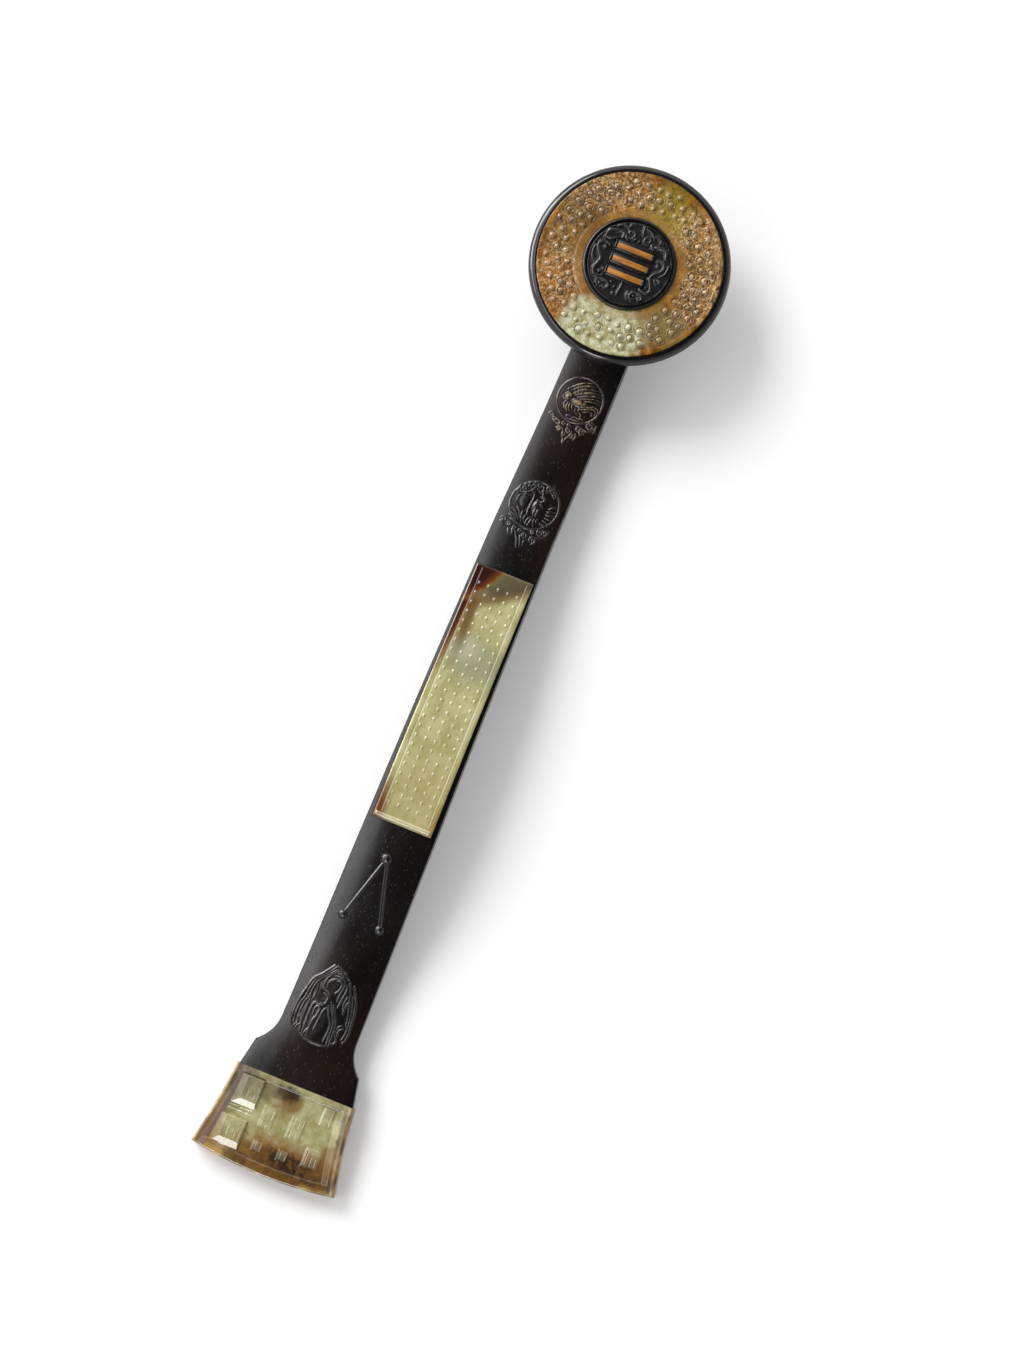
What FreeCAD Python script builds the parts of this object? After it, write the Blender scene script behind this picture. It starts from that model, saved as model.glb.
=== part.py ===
import FreeCAD, Part
import math
import os

# A jade-mounted ruyi scepter: an arched zitan handle with three jade fittings, a round disc in
# the head, a long plaque in the middle of the shaft and a flared chape at the foot.
# X runs along the scepter from the foot (-X) to the head (+X), Z is up, and the scepter lies on
# its back on z = 0, with its middle over the origin. All sizes are in millimetres.

Vector = FreeCAD.Vector
UP = Vector(0, 0, 1)

# ---------------------------------------------------------------- driving dimensions

SCEPTER_LENGTH = 420.0
LET_IN_CLEARANCE = 0.05         # round a piece that is let into another, each side

# Shaft, seen from above
SHAFT_WIDTH_AT_NECK = 23.5
SHAFT_WIDTH_AT_COVE = 31.6
NECK_WIDTH_TO_HEAD = 42.6       # from where the neck's width is taken to the head's centre
COVE_TO_CHAPE = 23.6            # from where the coves of the flared foot begin to the chape
COVE_RADIUS = 16.0
COVE_LENGTH = 12.5
FOOT_FLARE = 1.5                # how much wider each side gets from the shoulder to the chape

# Shaft, seen from the side
FOOT_THICKNESS = 8.5
FOOT_FLAT_LENGTH = 12.0
CREST_X = -35.0
CREST_UNDERSIDE_Z = 10.0
CREST_THICKNESS = 12.0
HEEL_TO_HEAD = 71.6             # from the lowest place of the neck to the head's centre
HEEL_THICKNESS = 13.0
REST_PLANED_OFF = 0.35          # planed from foot and heel, so that they rest on flats
NECK_TIP_THICKNESS = 5.0
NECK_RISE_LENGTH = 43.0         # from the heel to the seat of the tray
NECK_PAST_HEAD_CENTRE = 18.0
SHAFT_CROWN_RADIUS = 95.0
FOOT_CROWN_RADIUS = 260.0
SEAT_PLANED_OFF = 0.8           # planed from the crowned neck, so that the tray sits on a flat
SEAT_RUN_OUT = 4.0              # how far before its full height the flat begins
FACE_EDGE_CHAMFER = 0.6         # along the shaft's upper edges

# Round tray of the head
TRAY_RADIUS = 39.4
TRAY_RIM_WIDTH = 3.1
TRAY_TOP_Z = 28.0
TRAY_THICKNESS = 11.0
TRAY_WIDEST_BELOW_TOP = 4.2
TRAY_FLAT_RADIUS = 22.0
TRAY_RIM_FLAT = 0.6             # level strip of the rim beside the jade

# Jade disc in the tray
DISC_THICKNESS = 5.5            # to the top of its borders
DISC_HOLE_RADIUS = 18.1
DISC_OUTER_BORDER = 1.8
DISC_INNER_BORDER = 3.6
DISC_BORDER_HEIGHT = 0.4
DISC_GRAIN_RADIUS = 1.6
DISC_GRAIN_TOP_RADIUS = 0.8
DISC_GRAIN_HEIGHT = 0.7
DISC_GRAIN_SPACING = 5.2

# Carved wooden boss in the hole of the disc
BOSS_PROUD = 0.9                # above the disc's borders
BOSS_RIM_WIDTH = 1.1
BOSS_GROUND_DEPTH = 0.6
BOSS_PEG_RADIUS = 3.0
BOSS_PEG_IN_BOSS = 3.0
BOSS_PEG_IN_TRAY = 2.0

# Inlaid bars in the boss
BAR_LENGTH = 14.2
BAR_WIDTH = 1.7
BAR_DEPTH = 1.4
BAR_SPACING = 5.3
BAR_FRAME_WIDTH = 0.7

# Dowels between neck and tray
DOWEL_RADIUS = 2.5
DOWEL_IN_NECK = 3.0
DOWEL_IN_TRAY = 3.5
DOWEL_FROM_HEAD_CENTRE = 10.5

# Jade plaque in the shaft
PLAQUE_LENGTH = 106.5
PLAQUE_CENTRE_X = -11.3
PLAQUE_WIDTH_AT_FOOT = 24.3
PLAQUE_WIDTH_AT_HEAD = 22.5
PLAQUE_IN_SHAFT = 3.6
PLAQUE_PROUD = 0.7
PLAQUE_BEVEL = 0.9
PLAQUE_GRAIN_PITCH = 4.0
PLAQUE_GRAIN_COLUMNS = 5
PLAQUE_GRAIN_ROWS = 24
PLAQUE_GRAIN_RADIUS = 0.75
PLAQUE_GRAIN_HEIGHT = 0.4
PLAQUE_LINE_WIDTH = 0.5
PLAQUE_LINE_DEPTH = 0.25
PLAQUE_LINE_FROM_EDGE = 2.2
PLAQUE_LIP_WIDTH = 1.8
PLAQUE_LIP_HEIGHT = 0.5

# Jade chape at the foot
CHAPE_LENGTH = 37.4
CHAPE_WIDTH_AT_SHAFT = 47.2
CHAPE_WIDTH_AT_TIP = 60.0
CHAPE_TIP_BOW = 3.5             # how far the middle of the tip stands past its corners
CHAPE_SIDE_HOLLOW = 0.7         # how far each side curves in
CHAPE_TIP_THICKNESS = 7.0
CHAPE_BEVEL = 0.8
CHAPE_FRAME_AT_SIDES = 4.2
CHAPE_FRAME_AT_SHAFT = 2.4
CHAPE_FRAME_AT_TIP = 4.0
CHAPE_PANEL_DEPTH = 0.9
FRET_BELOW_FRAME = 0.15
FRET_BAND = 1.25
FRET_COLUMNS = 4
FRET_REGISTERS = 2
FRET_MARGIN = 1.5
TENON_LENGTH = 16.0
TENON_WIDTH = 20.0
TENON_THICKNESS = 3.6
TENON_END_GAP = 0.3

# Carved relief on the shaft
RELIEF_HEIGHT = 0.5
MEDALLION_RING_WIDTH = 0.8
SUN_ALONG_NECK = 0.8263         # share of the way from the plaque to the tray
SUN_RADIUS = 9.3
MOON_ALONG_NECK = 0.3255
MOON_RADIUS = 9.7
STAR_RADIUS = 1.6
STAR_HEIGHT = 0.9
STAR_SIDES = 10
STAR_RIDGE_WIDTH = 0.9
LEADING_STAR_AT = (0.126, 0.4)  # share of the way from the plaque to the chape, and y
LEFT_STAR_AT = (0.368, 8.3)
RIGHT_STAR_AT = (0.374, -7.4)
MOUNTAIN_TO_CHAPE = 19.1
MOUNTAIN_LENGTH = 29.0
MOUNTAIN_PEAK_Y = 3.0
MOUNTAIN_WIDTH = 25.0
MOUNTAIN_SHOULDER_WIDTH = 15.0
MOUNTAIN_BAND = 0.9

# ---------------------------------------------------------------- sizes that follow from them

FOOT_TIP_X = -SCEPTER_LENGTH / 2
HEAD_X = SCEPTER_LENGTH / 2 - TRAY_RADIUS
JUNCTION_X = FOOT_TIP_X + CHAPE_LENGTH
NECK_TIP_X = HEAD_X + NECK_PAST_HEAD_CENTRE
HEEL_X = HEAD_X - HEEL_TO_HEAD
NECK_WIDTH_X = HEAD_X - NECK_WIDTH_TO_HEAD
COVE_START_X = JUNCTION_X + COVE_TO_CHAPE
SHOULDER_X = COVE_START_X - COVE_LENGTH
TRAY_UNDERSIDE_Z = TRAY_TOP_Z - TRAY_THICKNESS
TRAY_FLOOR_Z = TRAY_TOP_Z - DISC_THICKNESS
DISC_RADIUS = TRAY_RADIUS - TRAY_RIM_WIDTH - LET_IN_CLEARANCE
BOSS_RADIUS = DISC_HOLE_RADIUS - LET_IN_CLEARANCE
BOSS_TOP_Z = TRAY_TOP_Z + BOSS_PROUD
BOSS_GROUND_Z = BOSS_TOP_Z - BOSS_GROUND_DEPTH
PLAQUE_FOOT_X = PLAQUE_CENTRE_X - PLAQUE_LENGTH / 2
PLAQUE_HEAD_X = PLAQUE_CENTRE_X + PLAQUE_LENGTH / 2
NECK_ROOM = HEAD_X - TRAY_RADIUS - PLAQUE_HEAD_X
FOOT_ROOM = PLAQUE_FOOT_X - JUNCTION_X
SUN_X = PLAQUE_HEAD_X + SUN_ALONG_NECK * NECK_ROOM
MOON_X = PLAQUE_HEAD_X + MOON_ALONG_NECK * NECK_ROOM
MOUNTAIN_FOOT_X = JUNCTION_X + MOUNTAIN_TO_CHAPE
MOUNTAIN_PEAK_X = MOUNTAIN_FOOT_X + MOUNTAIN_LENGTH
CHAPE_CORNER_X = FOOT_TIP_X + CHAPE_TIP_BOW
TENON_MIDDLE_Z = FOOT_THICKNESS / 2

# Places where the shaft's upper and lower lines run level; two equal tangent arcs join each
# pair of them, which gives the scepter its wave.
SEAT_START_X = HEEL_X + NECK_RISE_LENGTH
SEAT_SAWN_FROM_X = SEAT_START_X - SEAT_RUN_OUT
SEAT_TOP_Z = TRAY_UNDERSIDE_Z + SEAT_PLANED_OFF
TOP_LEVELS = [
    (JUNCTION_X, FOOT_THICKNESS),
    (JUNCTION_X + FOOT_FLAT_LENGTH, FOOT_THICKNESS),
    (CREST_X, CREST_UNDERSIDE_Z + CREST_THICKNESS),
    (HEEL_X, HEEL_THICKNESS),
    (SEAT_START_X, SEAT_TOP_Z),
    (NECK_TIP_X, SEAT_TOP_Z),
]
UNDERSIDE_LEVELS = [
    (JUNCTION_X, -REST_PLANED_OFF),
    (JUNCTION_X + FOOT_FLAT_LENGTH, -REST_PLANED_OFF),
    (CREST_X, CREST_UNDERSIDE_Z),
    (HEEL_X, -REST_PLANED_OFF),
    (NECK_TIP_X, TRAY_UNDERSIDE_Z - NECK_TIP_THICKNESS),
]
LOFT_STEPS_PER_WAVE = 6
DISC_GRAIN_SIDES = 5
PLAQUE_GRAIN_SIDES = 4
TURNED_STEPS = 3                # straight cuts that make each rounding of the tray
TOOL_REACH = 80.0               # how far cutting tools run past what they cut


# ---------------------------------------------------------------- small helpers

def prism(points, low, high):
    """An upright solid from z = low to high over a closed outline of straight lines."""
    corners = [Vector(x, y, low) for x, y in points]
    corners.append(corners[0])
    return Part.Face(Part.makePolygon(corners)).extrude(UP * (high - low))


def prism_of_edges(edges, low, high):
    """An upright solid from z = low to high over a closed outline of edges drawn at z = 0."""
    face = Part.Face(Part.Wire(Part.__sortEdges__(edges)))
    face.translate(UP * low)
    return face.extrude(UP * (high - low))


def line(start, end):
    return Part.LineSegment(Vector(*start), Vector(*end)).toShape()


def arc(start, middle, end):
    return Part.Arc(Vector(*start), Vector(*middle), Vector(*end)).toShape()


def upright_cylinder(radius, low, high, x=0.0, y=0.0):
    return Part.makeCylinder(radius, high - low, Vector(x, y, low))


def ring(outer, inner, low, high, x=0.0, y=0.0):
    return upright_cylinder(outer, low, high, x, y).cut(upright_cylinder(inner, low, high, x, y))


def faceted_grain(sides, radius, top_radius, height):
    """A raised grain with flat sides, which stands on z = 0 and is rooted a little below it."""
    root = -height / 2
    root_radius = radius + (radius - top_radius) / 2
    foot, top = [], []
    for step in range(sides):
        turn = 2 * math.pi * (step + 0.5) / sides
        foot.append(Vector(root_radius * math.cos(turn), root_radius * math.sin(turn), root))
        top.append(Vector(top_radius * math.cos(turn), top_radius * math.sin(turn), height))
    outlines = [foot]
    if top_radius > 0:
        outlines.append(top)
    for step in range(sides):
        following = (step + 1) % sides
        side = [foot[step], foot[following], top[following]]
        if top_radius > 0:
            side.append(top[step])
        outlines.append(side)
    faces = [Part.Face(Part.makePolygon(outline + [outline[0]])) for outline in outlines]
    grain = Part.makeSolid(Part.makeShell(faces))
    if grain.Volume < 0:
        grain.reverse()
    return grain


def write(shape, node):
    shape.exportStep("parts/" + node + ".step")
    box = shape.BoundBox
    print("%-18s solids %d valid %s volume %9.1f  x %7.1f..%6.1f  z %5.2f..%5.2f" % (
        node, len(shape.Solids), shape.isValid(), shape.Volume,
        box.XMin, box.XMax, box.ZMin, box.ZMax))


# ---------------------------------------------------------------- the wave of the shaft

def wave_radius(start, end):
    """Radius of the two equal arcs that join two level places."""
    span = end[0] - start[0]
    rise = end[1] - start[1]
    return (span ** 2 + rise ** 2) / (4 * abs(rise))


def height_on(levels, x):
    """Height at x of the line through the level places."""
    for start, end in zip(levels, levels[1:]):
        if x <= end[0] or end is levels[-1]:
            break
    if start[1] == end[1]:
        return start[1]
    radius = wave_radius(start, end)
    rising = math.copysign(1.0, end[1] - start[1])
    if x < (start[0] + end[0]) / 2:
        return start[1] + rising * (radius - math.sqrt(radius ** 2 - (x - start[0]) ** 2))
    return end[1] - rising * (radius - math.sqrt(radius ** 2 - (end[0] - x) ** 2))


def edges_on(levels, offset):
    """The same line as edges in the plane y = 0, raised by offset."""
    edges = []
    for start, end in zip(levels, levels[1:]):
        if start[1] == end[1]:
            edges.append(line((start[0], 0, start[1] + offset), (end[0], 0, end[1] + offset)))
            continue
        middle_x = (start[0] + end[0]) / 2
        places = [start[0], (start[0] + middle_x) / 2, middle_x, (middle_x + end[0]) / 2, end[0]]
        points = [(x, 0, height_on(levels, x) + offset) for x in places]
        edges.append(arc(*points[0:3]))
        edges.append(arc(*points[2:5]))
    return edges


def shaft_half_width(x):
    """Half the width of the straight, tapering shaft."""
    taper = (SHAFT_WIDTH_AT_NECK - SHAFT_WIDTH_AT_COVE) / (NECK_WIDTH_X - COVE_START_X)
    return (SHAFT_WIDTH_AT_COVE + taper * (x - COVE_START_X)) / 2


def crown_radius(x):
    """Radius of the shaft's crowned top, which flattens out over the foot."""
    over_foot = (COVE_START_X - x) / (COVE_START_X - JUNCTION_X)
    over_foot = min(1.0, max(0.0, over_foot))
    return SHAFT_CROWN_RADIUS + over_foot * (FOOT_CROWN_RADIUS - SHAFT_CROWN_RADIUS)


def crowned_section(x, half_width, raised):
    """Section of the crowned slab at x: flat underside, upright sides, arched top."""
    low = height_on(UNDERSIDE_LEVELS, x)
    top = height_on(TOP_LEVELS, x) + raised
    radius = crown_radius(x)
    side = top - (radius - math.sqrt(radius ** 2 - half_width ** 2))
    corners = [(x, -half_width, low), (x, half_width, low), (x, half_width, side), (x, -half_width, side)]
    return Part.Wire([
        line(corners[0], corners[1]),
        line(corners[1], corners[2]),
        arc(corners[2], (x, 0, top), corners[3]),
        line(corners[3], corners[0]),
    ])


def crowned_slab(raised):
    """The waved slab that the shaft is sawn from, with its top raised by a height."""
    stations = [JUNCTION_X]
    for start, end in zip(TOP_LEVELS, TOP_LEVELS[1:]):
        for step in range(1, LOFT_STEPS_PER_WAVE + 1):
            stations.append(start[0] + (end[0] - start[0]) * step / LOFT_STEPS_PER_WAVE)
    half_width = CHAPE_WIDTH_AT_SHAFT / 2 + 2
    return Part.makeLoft([crowned_section(x, half_width, raised) for x in stations], True, False)


def shaft_outline():
    """Edges of the handle seen from above: taper, coves, flared foot and round neck tip."""
    half_cove = shaft_half_width(COVE_START_X)
    tip_radius = shaft_half_width(NECK_TIP_X)
    tip_straight_x = NECK_TIP_X - tip_radius
    half_shoulder = half_cove + COVE_RADIUS - math.sqrt(COVE_RADIUS ** 2 - COVE_LENGTH ** 2)
    half_foot = half_shoulder + FOOT_FLARE
    half_length = COVE_LENGTH / 2
    half_middle = half_cove + COVE_RADIUS - math.sqrt(COVE_RADIUS ** 2 - half_length ** 2)
    edges = [line((JUNCTION_X, -half_foot, 0), (JUNCTION_X, half_foot, 0))]
    for side in (1, -1):
        tip = (tip_straight_x, side * shaft_half_width(tip_straight_x), 0)
        cove = (COVE_START_X, side * half_cove, 0)
        cove_middle = (COVE_START_X - half_length, side * half_middle, 0)
        shoulder = (SHOULDER_X, side * half_shoulder, 0)
        edges.append(line((JUNCTION_X, side * half_foot, 0), shoulder))
        edges.append(arc(shoulder, cove_middle, cove))
        edges.append(line(cove, tip))
    tip_half = shaft_half_width(tip_straight_x)
    edges.append(arc((tip_straight_x, tip_half, 0), (NECK_TIP_X, 0, 0), (tip_straight_x, -tip_half, 0)))
    return edges


# ---------------------------------------------------------------- relief carved on the shaft

def ridge(start, end, width):
    """Upright tool for a straight ridge between two places on the shaft."""
    along = Vector(end[0] - start[0], end[1] - start[1], 0)
    across = Vector(-along.y, along.x, 0).normalize() * (width / 2)
    corners = [
        (start[0] + across.x, start[1] + across.y),
        (end[0] + across.x, end[1] + across.y),
        (end[0] - across.x, end[1] - across.y),
        (start[0] - across.x, start[1] - across.y),
    ]
    return prism(corners, FOOT_THICKNESS / 2, TOOL_REACH)


def mountain_outline(inset):
    """Bell-shaped mountain with an arched foot, drawn in by an inset."""
    peak_x = MOUNTAIN_PEAK_X - inset
    foot_x = MOUNTAIN_FOOT_X + inset
    half = MOUNTAIN_WIDTH / 2 - inset
    half_shoulder = MOUNTAIN_SHOULDER_WIDTH / 2 - inset
    shoulder_x = (MOUNTAIN_PEAK_X + MOUNTAIN_FOOT_X) / 2 + MOUNTAIN_SHOULDER_WIDTH / 3
    corner_x = foot_x + MOUNTAIN_WIDTH / 6
    edges = [arc((corner_x, -half, 0), (foot_x, 0, 0), (corner_x, half, 0))]
    for side in (1, -1):
        flank = Part.BSplineCurve()
        flank.interpolate([
            Vector(corner_x, side * half, 0),
            Vector(shoulder_x, side * half_shoulder, 0),
            Vector(peak_x, MOUNTAIN_PEAK_Y, 0),
        ])
        edges.append(flank.toShape())
    return edges


def star_places():
    """Middles of the leading, left and right stars."""
    return [(PLAQUE_FOOT_X - share * FOOT_ROOM, y) for share, y in (LEADING_STAR_AT, LEFT_STAR_AT, RIGHT_STAR_AT)]


def relief_tools():
    """Upright tools of all that stands up from the shaft, seen from above."""
    low = FOOT_THICKNESS / 2
    leading, left, right = star_places()
    tools = [
        ring(SUN_RADIUS, SUN_RADIUS - MEDALLION_RING_WIDTH, low, TOOL_REACH, SUN_X),
        ring(MOON_RADIUS, MOON_RADIUS - MEDALLION_RING_WIDTH, low, TOOL_REACH, MOON_X),
        ridge(leading, left, STAR_RIDGE_WIDTH),
        ridge(leading, right, STAR_RIDGE_WIDTH),
    ]
    mountain = prism_of_edges(mountain_outline(0.0), low, TOOL_REACH)
    inside = prism_of_edges(mountain_outline(MOUNTAIN_BAND), low, TOOL_REACH)
    tools.append(mountain.cut(inside))
    return tools


def star(place):
    """A round star that stands on the crowned shaft."""
    radius = crown_radius(place[0])
    surface = height_on(TOP_LEVELS, place[0]) - (radius - math.sqrt(radius ** 2 - place[1] ** 2))
    button = faceted_grain(STAR_SIDES, STAR_RADIUS, STAR_RADIUS / 2, STAR_HEIGHT)
    button.translate(Vector(place[0], place[1], surface))
    return button


# ---------------------------------------------------------------- plaque

def plaque_band(above, below):
    """Waved band of the plaque: so far above and below the shaft's upper line, very wide."""
    levels = TOP_LEVELS[1:4]
    upper = edges_on(levels, above)
    lower = edges_on(levels, -below)
    ends = []
    for x, z in (levels[0], levels[-1]):
        ends.append(line((x, 0, z + above), (x, 0, z - below)))
    face = Part.Face(Part.Wire(Part.__sortEdges__(upper + lower + ends)))
    face.translate(Vector(0, -TOOL_REACH, 0))
    return face.extrude(Vector(0, 2 * TOOL_REACH, 0))


def plaque_half_width(x):
    share = (x - PLAQUE_FOOT_X) / PLAQUE_LENGTH
    return (PLAQUE_WIDTH_AT_FOOT + share * (PLAQUE_WIDTH_AT_HEAD - PLAQUE_WIDTH_AT_FOOT)) / 2


def plaque_plan(grown):
    """The plaque's four-sided outline, grown on every side."""
    low = PLAQUE_FOOT_X - grown
    high = PLAQUE_HEAD_X + grown
    half_low = plaque_half_width(low) + grown
    half_high = plaque_half_width(high) + grown
    return prism([(low, -half_low), (high, -half_high), (high, half_high), (low, half_low)], 0, TOOL_REACH)


def jade_plaque():
    bevel = PLAQUE_BEVEL
    low_part = plaque_band(PLAQUE_PROUD - bevel, PLAQUE_IN_SHAFT).common(plaque_plan(0.0))
    high_part = plaque_band(PLAQUE_PROUD, PLAQUE_IN_SHAFT).common(plaque_plan(-bevel))
    plaque = low_part.fuse(high_part)
    lines = []
    for side in (1, -1):
        near = PLAQUE_LINE_FROM_EDGE
        far = PLAQUE_LINE_FROM_EDGE + PLAQUE_LINE_WIDTH
        corners = []
        for x, insets in ((PLAQUE_FOOT_X, (near, far)), (PLAQUE_HEAD_X, (far, near))):
            for inset in insets:
                corners.append((x, side * (plaque_half_width(x) - inset)))
        lines.append(prism(corners, 0, TOOL_REACH))
    line_room = plaque_band(PLAQUE_PROUD + PLAQUE_GRAIN_HEIGHT, PLAQUE_LINE_DEPTH - PLAQUE_PROUD)
    line_room = line_room.common(plaque_plan(-PLAQUE_LIP_WIDTH - bevel))
    plaque = plaque.cut([line_room.common(each) for each in lines])
    lip_high_x = PLAQUE_FOOT_X + bevel + PLAQUE_LIP_WIDTH
    lip_half = plaque_half_width(PLAQUE_FOOT_X) - bevel
    lip_plan = prism([
        (PLAQUE_FOOT_X + bevel, -lip_half),
        (lip_high_x, -lip_half),
        (lip_high_x, lip_half),
        (PLAQUE_FOOT_X + bevel, lip_half),
    ], 0, TOOL_REACH)
    lip = plaque_band(PLAQUE_PROUD + PLAQUE_LIP_HEIGHT, PLAQUE_IN_SHAFT / 2).common(lip_plan)
    grain = faceted_grain(PLAQUE_GRAIN_SIDES, PLAQUE_GRAIN_RADIUS, 0, PLAQUE_GRAIN_HEIGHT)
    grains = []
    for row in range(PLAQUE_GRAIN_ROWS):
        for column in range(PLAQUE_GRAIN_COLUMNS):
            x = PLAQUE_CENTRE_X + (row - (PLAQUE_GRAIN_ROWS - 1) / 2) * PLAQUE_GRAIN_PITCH
            y = (column - (PLAQUE_GRAIN_COLUMNS - 1) / 2) * PLAQUE_GRAIN_PITCH
            one = grain.copy()
            one.translate(Vector(x, y, height_on(TOP_LEVELS, x) + PLAQUE_PROUD))
            grains.append(one)
    return plaque.fuse([lip] + grains)


# ---------------------------------------------------------------- chape

def chape_outline(at_sides, at_shaft, at_tip):
    """Edges of the chape seen from above, drawn in by the widths of a frame."""
    half_shaft = CHAPE_WIDTH_AT_SHAFT / 2
    half_tip = CHAPE_WIDTH_AT_TIP / 2
    shaft_x = JUNCTION_X - at_shaft
    corner_x = CHAPE_CORNER_X + at_tip
    middle_x = (shaft_x + corner_x) / 2
    slope = (half_tip - half_shaft) / (JUNCTION_X - CHAPE_CORNER_X)

    def half_at(x):
        return half_shaft + slope * (JUNCTION_X - x) - at_sides

    edges = [line((shaft_x, -half_at(shaft_x), 0), (shaft_x, half_at(shaft_x), 0))]
    for side in (1, -1):
        edges.append(arc(
            (shaft_x, side * half_at(shaft_x), 0),
            (middle_x, side * (half_at(middle_x) - CHAPE_SIDE_HOLLOW), 0),
            (corner_x, side * half_at(corner_x), 0)))
    edges.append(arc(
        (corner_x, half_at(corner_x), 0),
        (FOOT_TIP_X + at_tip, 0, 0),
        (corner_x, -half_at(corner_x), 0)))
    return edges


def chape_slab(lowered):
    """Wedge between the floor and the chape's sloping face, lowered by a depth."""
    corners = [
        Vector(JUNCTION_X, 0, 0),
        Vector(JUNCTION_X, 0, FOOT_THICKNESS - lowered),
        Vector(FOOT_TIP_X, 0, CHAPE_TIP_THICKNESS - lowered),
        Vector(FOOT_TIP_X, 0, 0),
    ]
    face = Part.Face(Part.makePolygon(corners + [corners[0]]))
    face.translate(Vector(0, -TOOL_REACH, 0))
    return face.extrude(Vector(0, 2 * TOOL_REACH, 0))


def squared_scroll(low_x, high_x, low_y, high_y, opens_up):
    """Upright tools of a squared scroll, a band that turns in on itself within a rectangle."""
    band = FRET_BAND
    middle_y = (low_y + high_y) / 2
    middle_x = (low_x + high_x) / 2
    back = high_y if opens_up else low_y
    front = low_y if opens_up else high_y
    inward = band if front < back else -band

    def block(x0, x1, y0, y1):
        return prism([(x0, y0), (x1, y0), (x1, y1), (x0, y1)], 0, TOOL_REACH)

    return [
        block(low_x, high_x, *sorted((back, back - inward))),
        block(low_x, low_x + band, low_y, high_y),
        block(high_x - band, high_x, low_y, high_y),
        block(middle_x - band / 2, high_x, *sorted((front, front + inward))),
        block(middle_x - band / 2, middle_x + band / 2, *sorted((front, middle_y + inward / 4))),
    ]


def chape_fret():
    """Two registers of squared scrolls, which face each other across the middle."""
    panel_low = CHAPE_CORNER_X + CHAPE_FRAME_AT_TIP + FRET_MARGIN
    panel_high = JUNCTION_X - CHAPE_FRAME_AT_SHAFT - FRET_MARGIN
    register = (panel_high - panel_low + FRET_MARGIN) / FRET_REGISTERS
    tools = []
    for row in range(FRET_REGISTERS):
        low_x = panel_low + row * register
        high_x = low_x + register - FRET_MARGIN
        share = (JUNCTION_X - high_x) / (JUNCTION_X - CHAPE_CORNER_X)
        width = CHAPE_WIDTH_AT_SHAFT + share * (CHAPE_WIDTH_AT_TIP - CHAPE_WIDTH_AT_SHAFT)
        half = width / 2 - CHAPE_FRAME_AT_SIDES - CHAPE_SIDE_HOLLOW - FRET_MARGIN
        column_width = (2 * half + FRET_MARGIN) / FRET_COLUMNS
        for column in range(FRET_COLUMNS):
            low_y = -half + column * column_width
            high_y = low_y + column_width - FRET_MARGIN
            tools += squared_scroll(low_x, high_x, low_y, high_y, column * 2 >= FRET_COLUMNS)
    return tools


def jade_chape():
    lower = prism_of_edges(chape_outline(0.0, 0.0, 0.0), 0, TOOL_REACH)
    upper = prism_of_edges(chape_outline(CHAPE_BEVEL, 0.0, CHAPE_BEVEL), 0, TOOL_REACH)
    panel = prism_of_edges(
        chape_outline(CHAPE_FRAME_AT_SIDES, CHAPE_FRAME_AT_SHAFT, CHAPE_FRAME_AT_TIP), 0, TOOL_REACH)
    chape = lower.common(chape_slab(CHAPE_BEVEL)).fuse(upper.common(chape_slab(0.0)))
    chape = chape.cut(panel.cut(chape_slab(CHAPE_PANEL_DEPTH)))
    fret_slab = chape_slab(FRET_BELOW_FRAME)
    chape = chape.fuse([tool.common(fret_slab) for tool in chape_fret()])
    socket_gap = LET_IN_CLEARANCE
    socket = Part.makeBox(
        TENON_LENGTH + TENON_END_GAP,
        TENON_WIDTH + 2 * socket_gap,
        TENON_THICKNESS + 2 * socket_gap,
        Vector(
            JUNCTION_X - TENON_LENGTH - TENON_END_GAP,
            -TENON_WIDTH / 2 - socket_gap,
            TENON_MIDDLE_Z - TENON_THICKNESS / 2 - socket_gap))
    return chape.cut(socket).removeSplitter()


# ---------------------------------------------------------------- handle

def dowel_places():
    return {
        "head_dowel_rear": HEAD_X - DOWEL_FROM_HEAD_CENTRE,
        "head_dowel_front": HEAD_X + DOWEL_FROM_HEAD_CENTRE,
    }


def face_edges(shaft):
    """Edges round the shaft's upper face, but for the one where the chape meets it."""
    found = []
    for face in shaft.Faces:
        low_u, high_u, low_v, high_v = face.ParameterRange
        if face.normalAt((low_u + high_u) / 2, (low_v + high_v) / 2).z > 0.5:
            found += [edge for edge in face.Edges if edge.CenterOfMass.x > JUNCTION_X + 0.1]
    return found


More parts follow.
